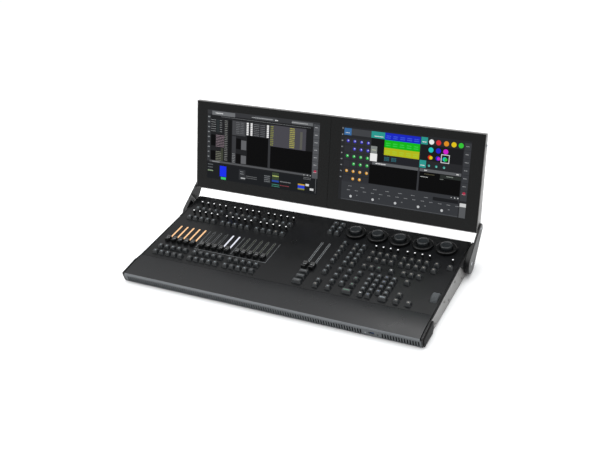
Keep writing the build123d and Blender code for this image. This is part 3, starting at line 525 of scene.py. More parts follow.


# Every knob top glows the same white: a painted highlight, not a lamp.
KNOB_HIGHLIGHT_WHITE = linear("#f6f8fa")
for block in ("executor_knobs", "assign_knobs"):
    spots = [(x, v, 0.0, KNOB_HIGHLIGHT_WHITE) for x, v, half in spots_of(block)]
    repeated(block + "_turned", knob_shape(), deck, spots, KNOB, KNOB_HIGHLIGHT_GLOW, block, "knob_plastic",
             stands_for=[block])


# ---- Fader caps, light bars and printed lines -------------------------------------------------
def prism(outline, low, high):
    """A solid of a (up, out) outline in mm, from low to high across."""
    work = bmesh.new()
    ends = [[work.verts.new((x * MM, v * MM, h * MM)) for v, h in outline] for x in (low, high)]
    for i in range(len(outline)):
        j = (i + 1) % len(outline)
        work.faces.new((ends[0][i], ends[0][j], ends[1][j], ends[1][i]))
    work.faces.new(list(reversed(ends[0])))
    work.faces.new(ends[1])
    return work


CAP_TOP = 10.0
CAP_FOOT = 0.8            # air under the cap
DIP_RADIUS = 13.5
DIP_CENTRE = 11.2         # above the cap's top
CAP_RIB = 0.22
STEM_HALF = (2.0, 0.6)    # along the slot and across it


def cap_outline(length, top, foot=CAP_FOOT, dip_radius=DIP_RADIUS, dip_height=DIP_CENTRE, rib=CAP_RIB):
    """Side of a fader cap: tapered ends and a ribbed finger dip round a flat middle line."""
    half = length / 2
    outline = [(-half, foot), (half, foot), (half - 0.75, top - 1.3), (half - 1.5, top - 0.35)]
    steps = 18
    reach = half - 2.3
    for step in range(steps + 1):
        v = reach - 2 * reach * step / steps
        h = top + dip_height - math.sqrt(dip_radius**2 - v**2)
        grip = rib if step % 2 and abs(v) > 1.0 else 0
        outline.append((v, min(h, top) - grip))
    return outline + [(-half + 1.5, top - 0.35), (-half + 0.75, top - 1.3)]


def fader_cap(node):
    """A ribbed cap with a white line across its dip, on its flat stem."""
    low, high = loose_parts(node, deck)[0]
    across, along = (low.x + high.x) / 2 / MM, (low.y + high.y) / 2 / MM
    width, length = (high.x - low.x) / MM, (high.y - low.y) / MM
    work = prism(cap_outline(length, CAP_TOP), -width / 2, width / 2)
    cap = rounded_over(mesh_of(work, sharp=30), 0.7, 3, 50)
    whole = bmesh.new()
    whole.from_mesh(cap)
    along_half, across_half = STEM_HALF
    foot, head = low.z / MM, 1.5
    stem = prism([(-along_half, foot), (along_half, foot), (along_half, head), (-along_half, head)],
                 -across_half, across_half)
    line_h = CAP_TOP + DIP_CENTRE - DIP_RADIUS
    line = prism([(-0.35, line_h - 0.3), (0.35, line_h - 0.3), (0.35, line_h + 0.05),
                  (-0.35, line_h + 0.05)], -width / 2 + 0.8, width / 2 - 0.8)
    for index, extra in ((0, stem), (1, line)):
        part = mesh_of(extra)
        first = len(whole.faces)
        whole.from_mesh(part)
        whole.faces.ensure_lookup_table()
        for face in whole.faces[first:]:
            face.material_index = index
    whole.transform(deck @ Matrix.Translation(Vector((across, along, 0)) * MM))
    made = bpy.data.meshes.new(node)
    whole.to_mesh(made)
    whole.free()
    return piece(node + "_cap", made, node, "cap_plastic", KNOB, WHITE_INK, stands_for=[node])


fader_nodes = [f"executor_fader_{i + 1:02d}" for i in range(15)]
for node in fader_nodes + ["master_fader_left", "master_fader_right"]:
    fader_cap(node)

bars = loose_parts("fader_light_bars", deck)
BAR_UNLIT, AMBER, LAVENDER, OLIVE = "#101213", "#f3c08c", "#d9dbe6", "#23261c"
bar_colours = [AMBER] * 5 + [BAR_UNLIT] * 3 + [LAVENDER] * 2 + [OLIVE] * 5
bar_low, bar_high = bars[0]
bar_width = (bar_high.x - bar_low.x) / MM
bar_length = (bar_high.y - bar_low.y) / MM


def slot_ring(outer_x, outer_y, inner_x, inner_y, low, high):
    """An upright-sided ring between two slots with round ends, in mm."""
    work = bmesh.new()
    rings = []
    for half_x, half_y, height in ((outer_x, outer_y, low), (outer_x, outer_y, high),
                                   (inner_x, inner_y, high), (inner_x, inner_y, low)):
        points = rounded_box(half_x, half_y, half_x * 0.98, 8)
        rings.append([work.verts.new((x * MM, y * MM, height * MM)) for x, y in points])
    for row in range(4):
        first, second = rings[row], rings[(row + 1) % 4]
        for i in range(len(first)):
            j = (i + 1) % len(first)
            work.faces.new((first[i], first[j], second[j], second[i]))
    lit = work.faces.layers.bool.new("lit")
    for face in work.faces:
        face[lit] = True
    return work


spots = [((low.x + high.x) / 2, (low.y + high.y) / 2, 0.0, linear(colour))
         for (low, high), colour in zip(bars, bar_colours)]
repeated("fader_light_bars_lit", slot_ring(bar_width / 2, bar_length / 2, 1.0, bar_length / 2 - 1.5,
         -3.0, 0.12), deck, spots, BAR_LIGHT, BAR_LIGHT, "console", "light_guide",
         stands_for=["fader_light_bars"])


def flat_lines(name, place, lines, lift, material, body, slot):
    """Thin printed lines (x0, y0, x1, y1, width) in mm on a face."""
    work = bmesh.new()
    for x0, y0, x1, y1, width in lines:
        start, end = Vector((x0, y0, 0)), Vector((x1, y1, 0))
        out = (end - start).normalized().cross(Vector((0, 0, 1))) * width / 2
        low = [work.verts.new(p * MM) for p in (start - out, end - out, end + out, start + out)]
        high = [work.verts.new(v.co + Vector((0, 0, lift * MM))) for v in low]
        work.faces.new(low)
        work.faces.new(high)
        for i in range(4):
            j = (i + 1) % 4
            work.faces.new((low[i], low[j], high[j], high[i]))
    return piece(name, mesh_of(work, place), body, slot, material)


bar_foot, bar_head = bar_low.y / MM, bar_high.y / MM
bar_x = [(low.x + high.x) / 2 / MM for low, high in bars]
half_pitch = (bar_x[5] - bar_x[4]) / 2
dividers = [(bar_x[4] + half_pitch, bar_foot - 1, bar_x[4] + half_pitch, bar_head, 0.9),
            (bar_x[9] + half_pitch, bar_foot - 1, bar_x[9] + half_pitch, bar_head, 0.9),
            (bar_x[14] + half_pitch, bar_foot - 8, bar_x[14] + half_pitch, bar_head, 0.9),
            (bar_x[4] + half_pitch, bar_foot - 8, bar_x[14] + half_pitch, bar_foot - 8, 0.9)]
for x in bar_x[5:8] + bar_x[10:]:
    for hand in (-1, 1):
        edge = x + hand * (bar_width / 2 + 0.5)
        dividers.append((edge, bar_foot + 6, edge, bar_head - 2, 0.5))
    dividers.append((x - bar_width / 2, bar_head + 0.6, x + bar_width / 2, bar_head + 0.6, 0.5))
masters = [loose_parts(node, deck)[0] for node in ("master_fader_left", "master_fader_right")]
MASTER_TRAVEL = 100.0
for low, high in masters:
    middle = (low.x + high.x) / 2 / MM
    foot = (low.y + high.y) / 2 / MM
    for hand in (-1, 1):
        edge = middle + hand * 1.9
        dividers.append((edge, foot - 7, edge, foot + MASTER_TRAVEL + 7, 1.2))
    for step in range(11):
        v = foot + MASTER_TRAVEL * step / 10
        dividers.append((middle + 3.0, v, middle + 4.8, v, 0.3))
flat_lines("deck_print", deck, dividers, 0.05, INK, "console", "deck_paint")


# ---- Encoders and level wheel ---------------------------------------------------------------
def axis_frame(node):
    """The deck's frame moved to the middle of a turned part."""
    low, high = loose_parts(node, deck)[0]
    return deck @ Matrix.Translation(Vector(((low.x + high.x) / 2, (low.y + high.y) / 2, 0)))


ring_profile = [(25.9, 0.6), (26.5, 1.0), (26.5, 5.9), (26.3, 6.7), (25.6, 7.5), (24.6, 7.9),
                (23.6, 8.0), (18.0, 8.0), (17.4, 7.8), (15.9, 6.3), (15.6, 5.9), (15.6, 2.6),
                (3.05, 2.6), (3.05, -15.2), (6.0, -15.2), (6.0, 0.6)]
dial_profile = [(0, -16.2), (2.7, -16.2), (3.0, -15.9), (3.0, 3.2), (14.7, 3.2), (15.0, 3.5),
                (15.0, 13.9), (14.8, 14.6), (14.3, 15.0), (12.5, 15.9), (12.1, 16.0), (11.7, 15.9),
                (10.6, 15.5), (8.5, 15.3), (4.5, 15.2), (0, 15.15)]
for i in range(5):
    ring_node, dial_node = f"encoder_ring_{i + 1}", f"encoder_dial_{i + 1}"
    work = bmesh.new()
    lathe(work, ring_profile, turns=192, flutes=((1, 2), 0.35))
    piece(ring_node + "_grip", mesh_of(work, axis_frame(ring_node)), ring_node, "encoder_plastic",
          RING, stands_for=[ring_node])
    work = bmesh.new()
    lathe(work, dial_profile, turns=128, flutes=((5, 6), 0.2))
    piece(dial_node + "_turned", mesh_of(work, axis_frame(dial_node)), dial_node, "encoder_plastic",
          DIAL, stands_for=[dial_node])

wheel_low, wheel_high = loose_parts("level_wheel", deck)[0]
wheel_middle = (wheel_low + wheel_high) / 2
WHEEL_RADIUS = (wheel_high.y - wheel_low.y) / 2 / MM
WHEEL_HALF, AXLE_HALF = 8.25, (wheel_high.x - wheel_low.x) / 2 / MM
wheel_profile = [(0, -AXLE_HALF), (2.3, -AXLE_HALF), (2.5, 0.2 - AXLE_HALF), (2.5, -WHEEL_HALF),
                 (WHEEL_RADIUS - 2.2, -WHEEL_HALF), (WHEEL_RADIUS - 0.9, 0.5 - WHEEL_HALF),
                 (WHEEL_RADIUS - 0.1, 1.6 - WHEEL_HALF), (WHEEL_RADIUS, 2.6 - WHEEL_HALF)]
wheel_profile += [(radius, -height) for radius, height in reversed(wheel_profile)]
work = bmesh.new()
lathe(work, wheel_profile, turns=160, flutes=((5, 6, 7, 8, 9, 10), 0.9))
across = Matrix.Translation(wheel_middle) @ Matrix.Rotation(math.radians(90), 4, "Y")
piece("level_wheel_tyre", mesh_of(work, deck @ across), "level_wheel", "wheel_plastic", TYRE,
      stands_for=["level_wheel"])


# ---- Casings ----------------------------------------------------------------------------------
COVER_FACE = max(abs(corner.co.x) for corner in nodes["side_cheek_right"].data.vertices) + 2.5 * MM


def is_edge(face):
    """True on the faces round a side panel's rim."""
    return abs(face.normal.x) < 0.9


def is_lip_highlight_face(face):
    """True on the armrest's front face, below its rounded lip, which takes the painted highlight."""
    return face.normal.y < -0.6


def is_cover(face):
    """True on the pivot covers, and false on the pins that come out of them."""
    return abs(face.center.x) < COVER_FACE


for node in ("side_cheek_left", "side_cheek_right"):
    softened(node, "console", "cheek_aluminium", ALUMINIUM, 0.4, 3, EDGING, is_edge)
# The armrest's front face takes the lighter lip finish: a painted highlight along the lip.
softened("armrest", "console", "armrest_paint", ARMREST, 0.6, 3, LIP_PAINTED_HIGHLIGHT, is_lip_highlight_face)
softened("corner_guards", "console", "guard_plastic", MOULDING, 0.4, 2)
softened("arm_hubs", "console", "pin_steel", BRIGHT_STEEL, 0.4, 3, ARM, is_cover)
softened("monitor_shell", "monitor", "shell_aluminium", ALUMINIUM, 0.5)
softened("screen_glass", "monitor", "screen_glass", GLASS, 0.25, 2)

for node, material in (
    ("bottom_tray", CASE), ("deck_panel", DECK), ("front_grille", GRILLE), ("rear_panel", CASE),
    ("sockets", NYLON), ("rubber_feet", RUBBER), ("circuit_boards", BOARD), ("fader_units", ZINC),
    ("encoder_units", ZINC), ("power_supply", RAW_ALUMINIUM), ("case_screws", ALUMINIUM),
    ("arm_left", ARM), ("arm_right", ARM), ("display_panels", DISPLAY), ("monitor_pins", BRIGHT_STEEL),
):
    mesh = nodes[node].data
    mesh.materials.clear()
    mesh.materials.append(material)


# The walls of the grille's slots take the matt black coat: painted shade that keeps the slots dark.
mesh = nodes["front_grille"].data
mesh.materials.append(CASE)
for face in mesh.polygons:
    face.material_index = int(face.normal.y > -0.5)


# ---- Screens ------------------------------------------------------------------------------------
panels = loose_parts("display_panels", glass)
SCREEN_W = (panels[0][1].x - panels[0][0].x) / MM
SCREEN_H = (panels[0][1].y - panels[0][0].y) / MM


def picture(name, panel, patches):
    """A screen's picture from flat patches (x, y, width, height, colour, layer), y downwards."""
    low, high = panels[panel]
    corner = glass @ Matrix.Translation((low.x, high.y, 0))
    work = bmesh.new()
    glow = work.loops.layers.float_color.new("glow")
    for x, y, width, height, colour, layer in patches:
        level = 0.04 + 0.03 * layer
        if width < 0:
            sides, reach = 14, -width / 2
            outline = [(x + reach * math.cos(2 * math.pi * i / sides),
                        y + reach * math.sin(2 * math.pi * i / sides)) for i in range(sides)]
        else:
            outline = [(x, y + height), (x + width, y + height), (x + width, y), (x, y)]
        verts = [work.verts.new((u * MM, -v * MM, level * MM)) for u, v in outline]
        face = work.faces.new(verts)
        for loop in face.loops:
            loop[glow] = linear(colour)
    work.transform(corner)
    mesh = bpy.data.meshes.new(name)
    work.faces.ensure_lookup_table()
    normal = glass.to_3x3() @ Vector((0, 0, 1))
    work.normal_update()
    turned = [face for face in work.faces if face.normal.dot(normal) < 0]
    bmesh.ops.reverse_faces(work, faces=turned)
    work.to_mesh(mesh)
    work.free()
    return piece(name, mesh, "monitor", "display_module", DISPLAY)


def dot(x, y, size, colour, layer=3):
    """A round patch about its middle."""
    return (x, y, -size, 0, colour, layer)


def writing(x, y, width, colour, layer=3, height=1.5, seed=1):
    """A line of illegible small marks, standing for a line of text."""
    dice = random.Random(seed + int(x * 7 + y * 13))
    marks = []
    at = x
    while at < x + width - 0.8:
        run = min(dice.uniform(1.0, 3.4), x + width - at)
        marks.append((at, y, run, height, colour, layer))
        at += run + dice.uniform(0.5, 1.0)
    return marks


def text_block(x, y, width, rows, pitch, colour, layer=3, height=1.6):
    """Rows of small marks."""
    marks = []
    for row in range(rows):
        marks += writing(x, y + row * pitch, width, colour, layer, height, row)
    return marks


def side_buttons(grey, light):
    """The column of soft buttons down a screen's right edge."""
    x = 327.0
    patches = [(x, 4, 17, 146, grey, 1)]
    for row in range(7):
        y = 4 + 20.0 * row
        patches += [(x, y, 17, 0.7, "#1c1d20", 2), *writing(x + 4, y + 8.5, 9, light, 3, 1.7, row)]
    return patches + [dot(x + 9, 131, 8, "#b8324e", 3)]


def left_picture():
    """The programming screen: lists, value grids, two black stage panels, a status strip."""
    back, black, grey = "#232426", "#050506", "#4a4b4e"
    patches = [
        (0, 0, SCREEN_W, SCREEN_H, back, 0), (0, 0, SCREEN_W, 12, "#3c3d40", 1),
        (15, 2, 73, 11, "#77797c", 2), (150, 3, 66, 8, "#55575a", 2),
        (262, 3, 62, 8, "#6c6e71", 2), *writing(26, 6, 24, "#f0f1f2", 3, 2.6),
        *writing(140, 6, 66, "#b9bbbd", 3, 2.2), *writing(212, 6, 9, "#f0f1f2", 3, 3),
        *writing(262, 6, 48, "#c2c3c5", 3, 2), *writing(44, 15.5, 275, "#77797b", 2, 1.4),
        (0, 14, 10, 130, "#3a3c3f", 1),
    ]
    for row in range(9):
        patches += writing(2, 18 + 14 * row, 6, "#a7abae", 2, 3, row)
    patches += [
        *text_block(12, 26, 15, 6, 6.2, "#9a9c9e"), *text_block(40, 26, 7, 6, 6.2, "#9a9c9e"),
        (29, 25, 9, 36, "#2d3335", 2), (68, 22, 10, 118, "#141516", 2),
        *text_block(56, 25, 9, 22, 5.2, "#8e8f8c", 3, 2.2),
        *text_block(28, 68, 27, 8, 4.4, "#a08c96", 3, 1.8),
        *text_block(28, 114, 17, 6, 4.8, "#8f9180", 3, 2.0), (12, 68, 15, 31, black, 3),
        (12, 113, 15, 27, black, 3), (44, 104, 8, 36, "#43473a", 2), (80, 22, 42, 40, grey, 1),
        (80, 65, 12, 75, "#3f4043", 1), *text_block(92, 26, 11, 7, 4.8, "#85878a", 3, 1.2),
        *text_block(106, 26, 10, 7, 4.8, "#85878a", 3, 1.2), (93, 70, 15, 30, black, 3),
        (93, 113, 15, 27, black, 3), (109, 74, 16, 26, "#6b6c6f", 2),
        (109, 116, 16, 23, "#6b6c6f", 2), *text_block(81, 114, 9, 6, 4.6, "#9b9d9f", 3, 1.8),
        (123, 21, 73, 39, "#333437", 1),
    ]
    for x in (125.0, 137.2, 187.6):
        for row in range(7):
            patches.append((x, 23.5 + 5 * row, 6.2, 4.0, "#ffffff", 3))
    patches += [
        *text_block(147, 25, 17, 7, 5, "#86878a", 2, 1.6),
        *text_block(168, 25, 14, 7, 5, "#77787d", 2, 1.8), (127, 59, 66, 80, black, 2),
        (193, 60, 7, 80, "#3a3b3e", 1), (198, 21, 108, 58, "#4e4d54", 1),
        *text_block(199, 24, 9, 11, 5, "#9a9c4a", 2, 2.6),
        *text_block(257, 23, 15, 11, 5, "#b9b45c", 2, 3.0), (288, 30, 7, 47, "#63635c", 2),
        (305, 16, 22, 122, "#1d1e20", 1), (200, 79, 125, 60, black, 2),
        (8, 141, 312, 5, "#5a5b5e", 2), (17, 142.5, 24, 3, "#8f9092", 3),
        *[dot(x, 144, 2.6, "#d9dadb") for x in (304, 314, 323)],
        (0, 149, SCREEN_W, 44.5, "#1d1f22", 1), *text_block(3, 152, 17, 3, 8, "#6c7073", 2, 3.0),
        *writing(3, 170, 18, "#a5bf8e", 3, 2.4), (42, 154, 21, 30, "#1b35ff", 2),
        (46, 185.5, 16, 6.5, "#46d67a", 2), (104, 156, 20, 29, "#36383b", 2),
        (110, 178, 14, 3.4, "#c5c7c9", 3), (183, 160, 20, 22, "#303336", 2),
        *text_block(108, 161, 11, 2, 6, "#9a9da0", 3, 1.8),
        *text_block(184, 162, 18, 4, 5, "#8d9093", 3, 1.8),
        *text_block(126, 171, 36, 2, 5, "#6f7173", 2, 2.0), (208, 150, 21, 20, "#3c4a35", 2),
        (208, 171, 21, 5, "#2b4fae", 2), *writing(209, 158, 19, "#c9d77a", 3, 3),
        *text_block(208, 182, 24, 2, 5, "#4e9e8a", 3, 2),
        *writing(233, 171, 32, "#8d8f91", 3, 2.6), *writing(233, 182, 29, "#9a4650", 3, 2),
        (287, 170, 20, 4, "#c9a63a", 2), (287, 174, 20, 8, "#2446e8", 2),
        (287, 182, 20, 4, "#8f9440", 2), (310, 167.5, 10, 6, "#e6e7e8", 2),
        (323, 178, 11, 6, "#e6e7e8", 2), (339, 150, 0.8, 40, "#85878a", 2),
        *text_block(303, 150, 22, 2, 4, "#8b8d8f", 2, 1.4),
    ]
    return patches + side_buttons("#5a5c60", "#c9cbcd")


def right_picture():
    """The preset screen: icon grid, colour bands, swatches, two black panels, encoder strip."""
    back, black, grey = "#2a2b2e", "#050506", "#3a3c40"
    teal, white = "#2fa39a", "#ffffff"
    patches = [
        (0, 0, SCREEN_W, SCREEN_H, back, 0), (8, 4, 20, 18, "#3f74ad", 2),
        (28, 4, 54, 17, "#46484c", 1), *writing(12, 15, 12, "#d7dde2", 3, 2),
    ]
    for row in range(9):
        patches += writing(2, 4 + 16 * row, 4, "#a0a3a6", 2, 3, row)
    for row, colour, columns in ((0, "#4b45d8", 4), (1, "#4b45d8", 3), (2, "#2fc552", 4),
                                 (3, "#2fc552", 3), (4, "#e8a93c", 4), (5, "#e8a93c", 2)):
        y = 30 + 19.7 * row
        for column in range(4):
            patches.append((10.5 + 18.7 * column, y - 1.5, 17.2, 17.6, "#323338", 1))
        for i in range(columns):
            x = 20 + 18.7 * (i + row % 2)
            patches += [dot(x, y + 6.5, 8, colour, 2), dot(x + 0.8, y + 5.6, 3, "#e9ecef", 3)]
    patches += [
        (83, 4, 37, 17, teal, 2), (84, 22, 36, 59, "#141517", 1),
        *writing(92, 15, 11, white, 3, 2), *writing(105, 15, 11, white, 3, 2),
        (84, 42, 17, 19, "#8e9391", 2), (83, 61, 19, 20, white, 3), (87, 51, 11, 2, "#c9cdb4", 3),
    ]
    bands = (("#1a2bd0", "#4462f0", 4, 18), ("#12c41a", "#3fe256", 22, 20),
             ("#c2c71c", "#b6dd3a", 42, 19))
    for colour, blob, y, height in bands:
        patches.append((120, y, 94, height, colour, 2))
        for i in range(5):
            patches += [
                *writing(124 + 18.6 * i, y + height * 0.35, 12, blob, 3, 2.6, i),
                *writing(124 + 18.6 * i, y + height * 0.62, 12, blob, 3, 2.6, i + 9),
            ]
    patches += [
        (120, 63, 94, 17, "#24252b", 1), (216, 3, 17, 18, teal, 2), (216, 61, 17, 19, teal, 2),
        *text_block(122, 66, 13, 3, 3.6, "#357a86", 3, 2.2),
        *text_block(141, 66, 13, 3, 3.6, "#357a86", 3, 2.2), *writing(219, 14, 11, white, 3, 2),
        *writing(219, 73, 11, white, 3, 2), (217, 22, 108, 39, "#1b1c1f", 1),
    ]
    swatches = [
        [(243, white), (261, "#e5343a"), (281, "#f09a22"), (300, "#f2d21c"), (318, "#3ad43c")],
        [(243, "#27d5cf"), (262, "#2223e0"), (281, "#e022dd")],
    ]
    for row, swatch in enumerate(swatches):
        patches += [dot(x, 13 + 20 * row, 13, colour) for x, colour in swatch]
    patches += [(270, 40, 22, 22, "#dfe1e3", 2), (272, 42, 18, 18, "#1b1c1f", 3)]
    for x, first, second in ((243, "#e83a20", "#f0dd20"), (263, "#2a28e0", "#d42ad8"),
                             (281, "#22cfd0", "#2fd03a")):
        patches += [dot(x - 1.2, 52, 11, first, 4), dot(x + 1.6, 52.6, 8.4, second, 5)]
    patches += [
        *[dot(x, 73, 6.5, teal) for x in (241, 260, 280)],
        *[dot(x + 0.6, 73.8, 3, "#9fd8c9", 4) for x in (241, 260, 280)],
        (90, 82, 124, 7.5, "#66686b", 2), (218, 82, 107, 7.5, "#66686b", 2),
        *writing(99, 84.6, 28, white, 3, 2.4), *writing(230, 84.6, 7, white, 3, 2.4),
        *writing(313, 84.6, 7, white, 3, 2.4), (83, 90, 130, 50, black, 2),
        (218, 90, 107, 50, black, 2), (213, 82, 5, 58, "#3b3c40", 1),
        *writing(231, 94, 26, "#5c5844", 3, 2.2), (272, 91, 53, 9, "#2c312e", 3),
        *writing(288, 93.5, 18, "#9aa19b", 4, 2), *writing(221, 102, 20, "#c9ccc9", 3, 1.8),
        *writing(272, 102, 9, "#8b918c", 3, 1.8), (8, 141, 317, 52.5, grey, 1),
        (258, 150, 66, 9, "#1e1f22", 3),
        *[dot(x, 145, size, "#e3e4e5") for x, size in ((305, 2.2), (314, 3), (322, 3.2))],
    ]
    for i in range(7):
        patches += writing(28 + 34.5 * i, 154, 10, "#95979a", 2, 1.7, i)
    for i in range(14):
        patches += writing(24 + 22.6 * i, 164.5, 9, "#8d8f92", 2, 1.9, i)
    for i in range(5):
        x = 35.7 + 62 * i
        patches += [dot(x, 182, 7, "#cfd1d3")] + writing(x + 16, 176, 4, "#8d8f92", 2, 2.2)
    patches += [
        (8, 191, 317, 0.7, "#6a6c6f", 2), (328, 156, 16, 9, "#e0e1e2", 3),
        (328, 165, 16, 28, "#5f6164", 2),
    ]
    return patches + side_buttons("#3d3f43", "#b0b2b4")


picture("screen_picture_left", 0, left_picture())
picture("screen_picture_right", 1, right_picture())


# ---- Sockets, dust filter and the monitor's back -----------------------------------------------
def flat_frame(node, toward):
    """The frame of a node's widest flat face that looks that way."""
    faces = [face for face in nodes[node].data.polygons if face.normal.dot(Vector(toward)) > 0.9]
    normal = max(faces, key=lambda face: face.area).normal.copy()
    up = (Vector((0, 0, 1)) - normal * normal.z).normalized()
    return face_frame(node, normal, up)


def boxes_piece(name, place, boxes, body, slot, material, soften=0.0):
    """Plain boxes (low, high) in mm on a face, as one piece."""
    work = bmesh.new()
    for low, high in boxes:
        for vertex in bmesh.ops.create_cube(work, size=MM)["verts"]:
            vertex.co = Vector([(low[i] + high[i]) / 2 * MM + vertex.co[i] * (high[i] - low[i])
                                for i in range(3)])
    mesh = mesh_of(work, place)
    if soften:
        mesh = rounded_over(mesh, soften, 2)
    return piece(name, mesh, body, slot, material)


def discs_piece(name, place, spots, profile, body, slot, material, turns=24):
    """A turned shape set at every (across, up) spot of a face, as one piece."""
    work = bmesh.new()
    for across, up in spots:
        old = set(work.verts)
        lathe(work, profile, turns)
        for vertex in set(work.verts) - old:
            vertex.co += Vector((across, up, 0)) * MM
    return piece(name, mesh_of(work, place), body, slot, material)


front = flat_frame("front_grille", (0, -1, 0))
rear = flat_frame("rear_panel", (0, 1, 0))
bodies = loose_parts("sockets", Matrix.Identity(4))


def middle_on(place, box):
    """The middle of a box on a face, in mm across and up."""
    centre = place.inverted() @ ((box[0] + box[1]) / 2)
    return centre.x / MM, centre.y / MM


port = min(bodies, key=lambda box: box[0].y)
rear_bodies = sorted([box for box in bodies if box is not port], key=lambda box: box[0].x)
port_x, port_up = middle_on(front, port)
upright = Matrix.Translation(((port[0].x + port[1].x) / 2, port[0].y, (port[0].z + port[1].z) / 2))
upright = upright @ Matrix.Rotation(math.radians(90), 4, "X")

# The port's steel liner and blue tongue.
boxes_piece("port_liner", upright, [
    ((-6.4, 2.35, -10.9), (6.4, 2.65, -0.2)), ((-6.4, -2.65, -10.9), (6.4, -2.35, -0.2)),
    ((-6.45, -2.3, -10.9), (-6.15, 2.3, -0.2)), ((6.15, -2.3, -10.9), (6.45, 2.3, -0.2)),
], "console", "pin_steel", BRIGHT_STEEL)
boxes_piece("port_tongue", upright, [((-5.2, 0.1, -10.9), (5.2, 1.7, -1.6))], "console",
            "socket_plastic", BLUE_PLASTIC)
mark = ((port_x - 17.0, port_up - 1.0, 0.02), (port_x - 13.4, port_up + 1.6, 0.12))
boxes_piece("port_mark", front, [mark], "console", "grille_paint", WHITE_INK)
# A flat dead-black disc on the grille's face: painted shade standing for the reset hole.
discs_piece("reset_hole", front, [(port_x + 14.8, port_up)],
            [(0, 0.02), (2.0, 0.02), (2.0, 0.14), (0, 0.14)], "console", "socket_plastic", FOAM_PAINTED_SHADE)

# A thin foam filter lies along the back of the grille; its dead black is painted shade seen through the
# slots.
lower = flat_frame("front_grille", (0, 1, 0))
reach = max(abs(corner.co.x) for corner in nodes["front_grille"].data.vertices) / MM
for hand, inner, outer in (("left", -port_x + 10, reach - 1), ("right", 1 - reach, -port_x - 10)):
    boxes_piece("dust_filter_" + hand, lower, [((inner, 1.2, 0.06), (outer, 18.6, 0.3))], "console",
                "grille_paint", FOAM_PAINTED_SHADE)

# Rear sockets: inlet blades, network contacts, and a collar, contacts and screws at each data socket.
inlet = middle_on(rear, rear_bodies[0])
boxes_piece("inlet_blades", rear, [
    ((inlet[0] + x - w, inlet[1] + y - h, -19.4), (inlet[0] + x + w, inlet[1] + y + h, -4.0))
    for x, y, w, h in ((-7, -2.5, 1, 2), (7, -2.5, 1, 2), (0, 3, 1, 2))
], "console", "pin_steel", BRIGHT_STEEL, 0.3)
net = [middle_on(rear, box) for box in rear_bodies[1:3]]
boxes_piece("network_contacts", rear, [
    ((x + 1.02 * (i - 3.5) - 0.25, up + 3.9, -13.4), (x + 1.02 * (i - 3.5) + 0.25, up + 4.5, -2.0))
    for x, up in net for i in range(8)
], "console", "pin_steel", GOLD)
data = [middle_on(rear, box) for box in rear_bodies[3:]]
FLANGE = 1.6
discs_piece("data_collars", rear, data, [
    (8.6, FLANGE + 0.02), (10.4, FLANGE + 0.02), (10.4, FLANGE + 0.9), (10.0, FLANGE + 1.2),
    (9.0, FLANGE + 1.2), (8.6, FLANGE + 0.9)], "console", "pin_steel", ZINC, 48)
arcs = [math.radians(angle) for angle in (200, 235, 270, 305, 340)]
discs_piece("data_contacts", rear, [(x + 5.0 * math.cos(turn), up + 1.0 + 5.0 * math.sin(turn))
                                    for x, up in data for turn in arcs],
            [(0, FLANGE + 0.02), (1.2, FLANGE + 0.02), (1.2, FLANGE + 0.3), (0, FLANGE + 0.3)],
            "console", "pin_steel", GOLD, 16)
screw_head = [(0, 0.02), (1.9, 0.02), (1.9, 0.5), (1.5, 0.9), (0.7, 0.9), (0.6, 0.4), (0, 0.4)]
data_corners = [(x + hand * 9.6, up - hand * 12.0) for x, up in data for hand in (-1, 1)]
discs_piece("data_screws", rear, data_corners,
            [(radius, height + FLANGE) for radius, height in screw_head], "console", "screw_steel",
            BLACK_STEEL, 16)

# The monitor's back: two banks of louvres, a plain plate between them, and cover screws.
back = flat_frame("monitor_shell", (0, 1, 0))
back_corners = [back.inverted() @ corner.co for corner in nodes["monitor_shell"].data.vertices]
back_half = max(abs(corner.x) for corner in back_corners) / MM
back_height = max(corner.y for corner in back_corners) / MM
BANK_X, LOUVRE_PITCH, LOUVRE_HALF, LOUVRE_THICK = 230.0, 8.0, 60.0, 1.6
louvres = [(x, back_height * 0.62 + LOUVRE_PITCH * row) for x in (-BANK_X, BANK_X) for row in range(8)]
boxes_piece("monitor_louvres", back, [
    ((x - LOUVRE_HALF, up - LOUVRE_THICK, 0.02), (x + LOUVRE_HALF, up + LOUVRE_THICK, LOUVRE_THICK))
    for x, up in louvres], "monitor", "shell_aluminium", CASE, 0.7)
plate = ((-75, back_height * 0.3, 0.02), (75, back_height * 0.58, 1.0))
boxes_piece("monitor_back_plate", back, [plate], "monitor", "shell_aluminium", CASE, 0.4)
edges = [back_height * share for share in (0.06, 0.94)]
cover_screws = [(share * back_half, up) for share in (-0.96, -0.48, 0, 0.48, 0.96) for up in edges]
discs_piece("monitor_screws", back, cover_screws,
            [(radius * 1.3, height) for radius, height in screw_head], "monitor", "screw_steel",
            BLACK_STEEL, 20)


# ---- Camera, floor and light ------------------------------------------------------------------
def set_camera():
    """A long lens above the right front corner, looking down at the middle of the desk."""
    data = bpy.data.cameras.new("camera")
    data.lens = 51.45
    data.sensor_width = 36.0
    camera = bpy.data.objects.new("camera", data)
    scene.collection.objects.link(camera)
    forward = Vector((-0.41242, 0.77228, -0.48322)).normalized()
    right = forward.cross(Vector((-0.15912, 0.46120, 0.87291))).normalized()
    turn = Matrix((right, right.cross(forward), -forward)).transposed()
    camera.matrix_world = Matrix.Translation((0.913355, -1.684407, 1.176575)) @ turn.to_4x4()
    scene.camera = camera


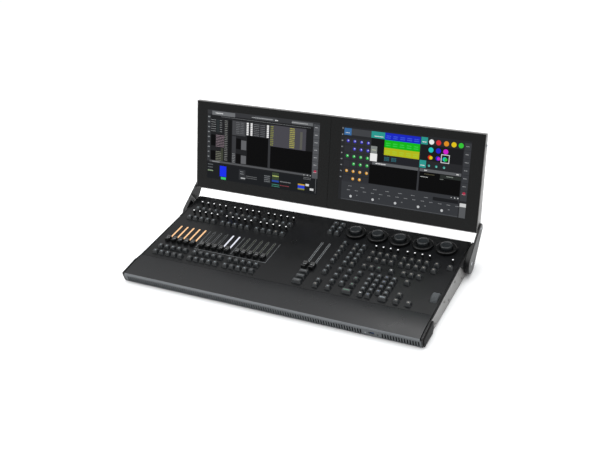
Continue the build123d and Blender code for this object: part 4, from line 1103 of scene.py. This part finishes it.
def area_light(name, place, aim, size, power):
    """A square soft light aimed at a point."""
    data = bpy.data.lights.new(name, "AREA")
    data.shape = "SQUARE"
    data.size = size
    data.energy = power
    lamp = bpy.data.objects.new(name, data)
    lamp.location = place
    lamp.rotation_euler = (Vector(aim) - Vector(place)).to_track_quat("-Z", "Y").to_euler()
    scene.collection.objects.link(lamp)


def set_studio():
    """A wide pale floor, a white sky that brightens overhead, and four soft boxes."""
    work = bmesh.new()
    bmesh.ops.create_grid(work, x_segments=1, y_segments=1, size=8.0)
    mesh = bpy.data.meshes.new("floor")
    work.to_mesh(mesh)
    work.free()
    mesh.materials.append(FLOOR)
    floor = bpy.data.objects.new("floor", mesh)
    scene.collection.objects.link(floor)
    world = bpy.data.worlds.new("studio")
    world.use_nodes = True
    sky = world.node_tree.nodes["Background"]
    sky.inputs["Color"].default_value = linear("#ffffff")
    way = add(world.node_tree, "ShaderNodeTexCoord").outputs["Generated"]
    height = add(world.node_tree, "ShaderNodeSeparateXYZ", {"Vector": way}).outputs["Z"]
    overhead = add(world.node_tree, "ShaderNodeMapRange", {
        "Value": height, "From Min": 0.4, "From Max": 0.85, "To Min": 0.35, "To Max": 1.55})
    backdrop = add(world.node_tree, "ShaderNodeMapRange", {
        "Value": height, "From Min": 0.1, "From Max": 0.2, "To Min": 1.0, "To Max": 0.35})
    glow = add(world.node_tree, "ShaderNodeMath", {
        0: overhead.outputs["Result"], 1: backdrop.outputs["Result"]}, operation="MAXIMUM")
    world.node_tree.links.new(glow.outputs["Value"], sky.inputs["Strength"])
    scene.world = world
    area_light("key_light", (-1.4, -0.6, 2.0), (0, 0, 0.1), 1.4, 26)
    area_light("fill_light", (1.8, -1.0, 1.2), (0, 0, 0.1), 1.2, 8)
    area_light("rear_light", (0.6, 1.8, 1.8), (0, 0, 0.1), 1.4, 8)
    area_light("top_light", (0.1, 0.75, 2.1), (0.1, 0, 0), 1.2, 14)
    scene.view_settings.view_transform = "Standard"


set_camera()
set_studio()
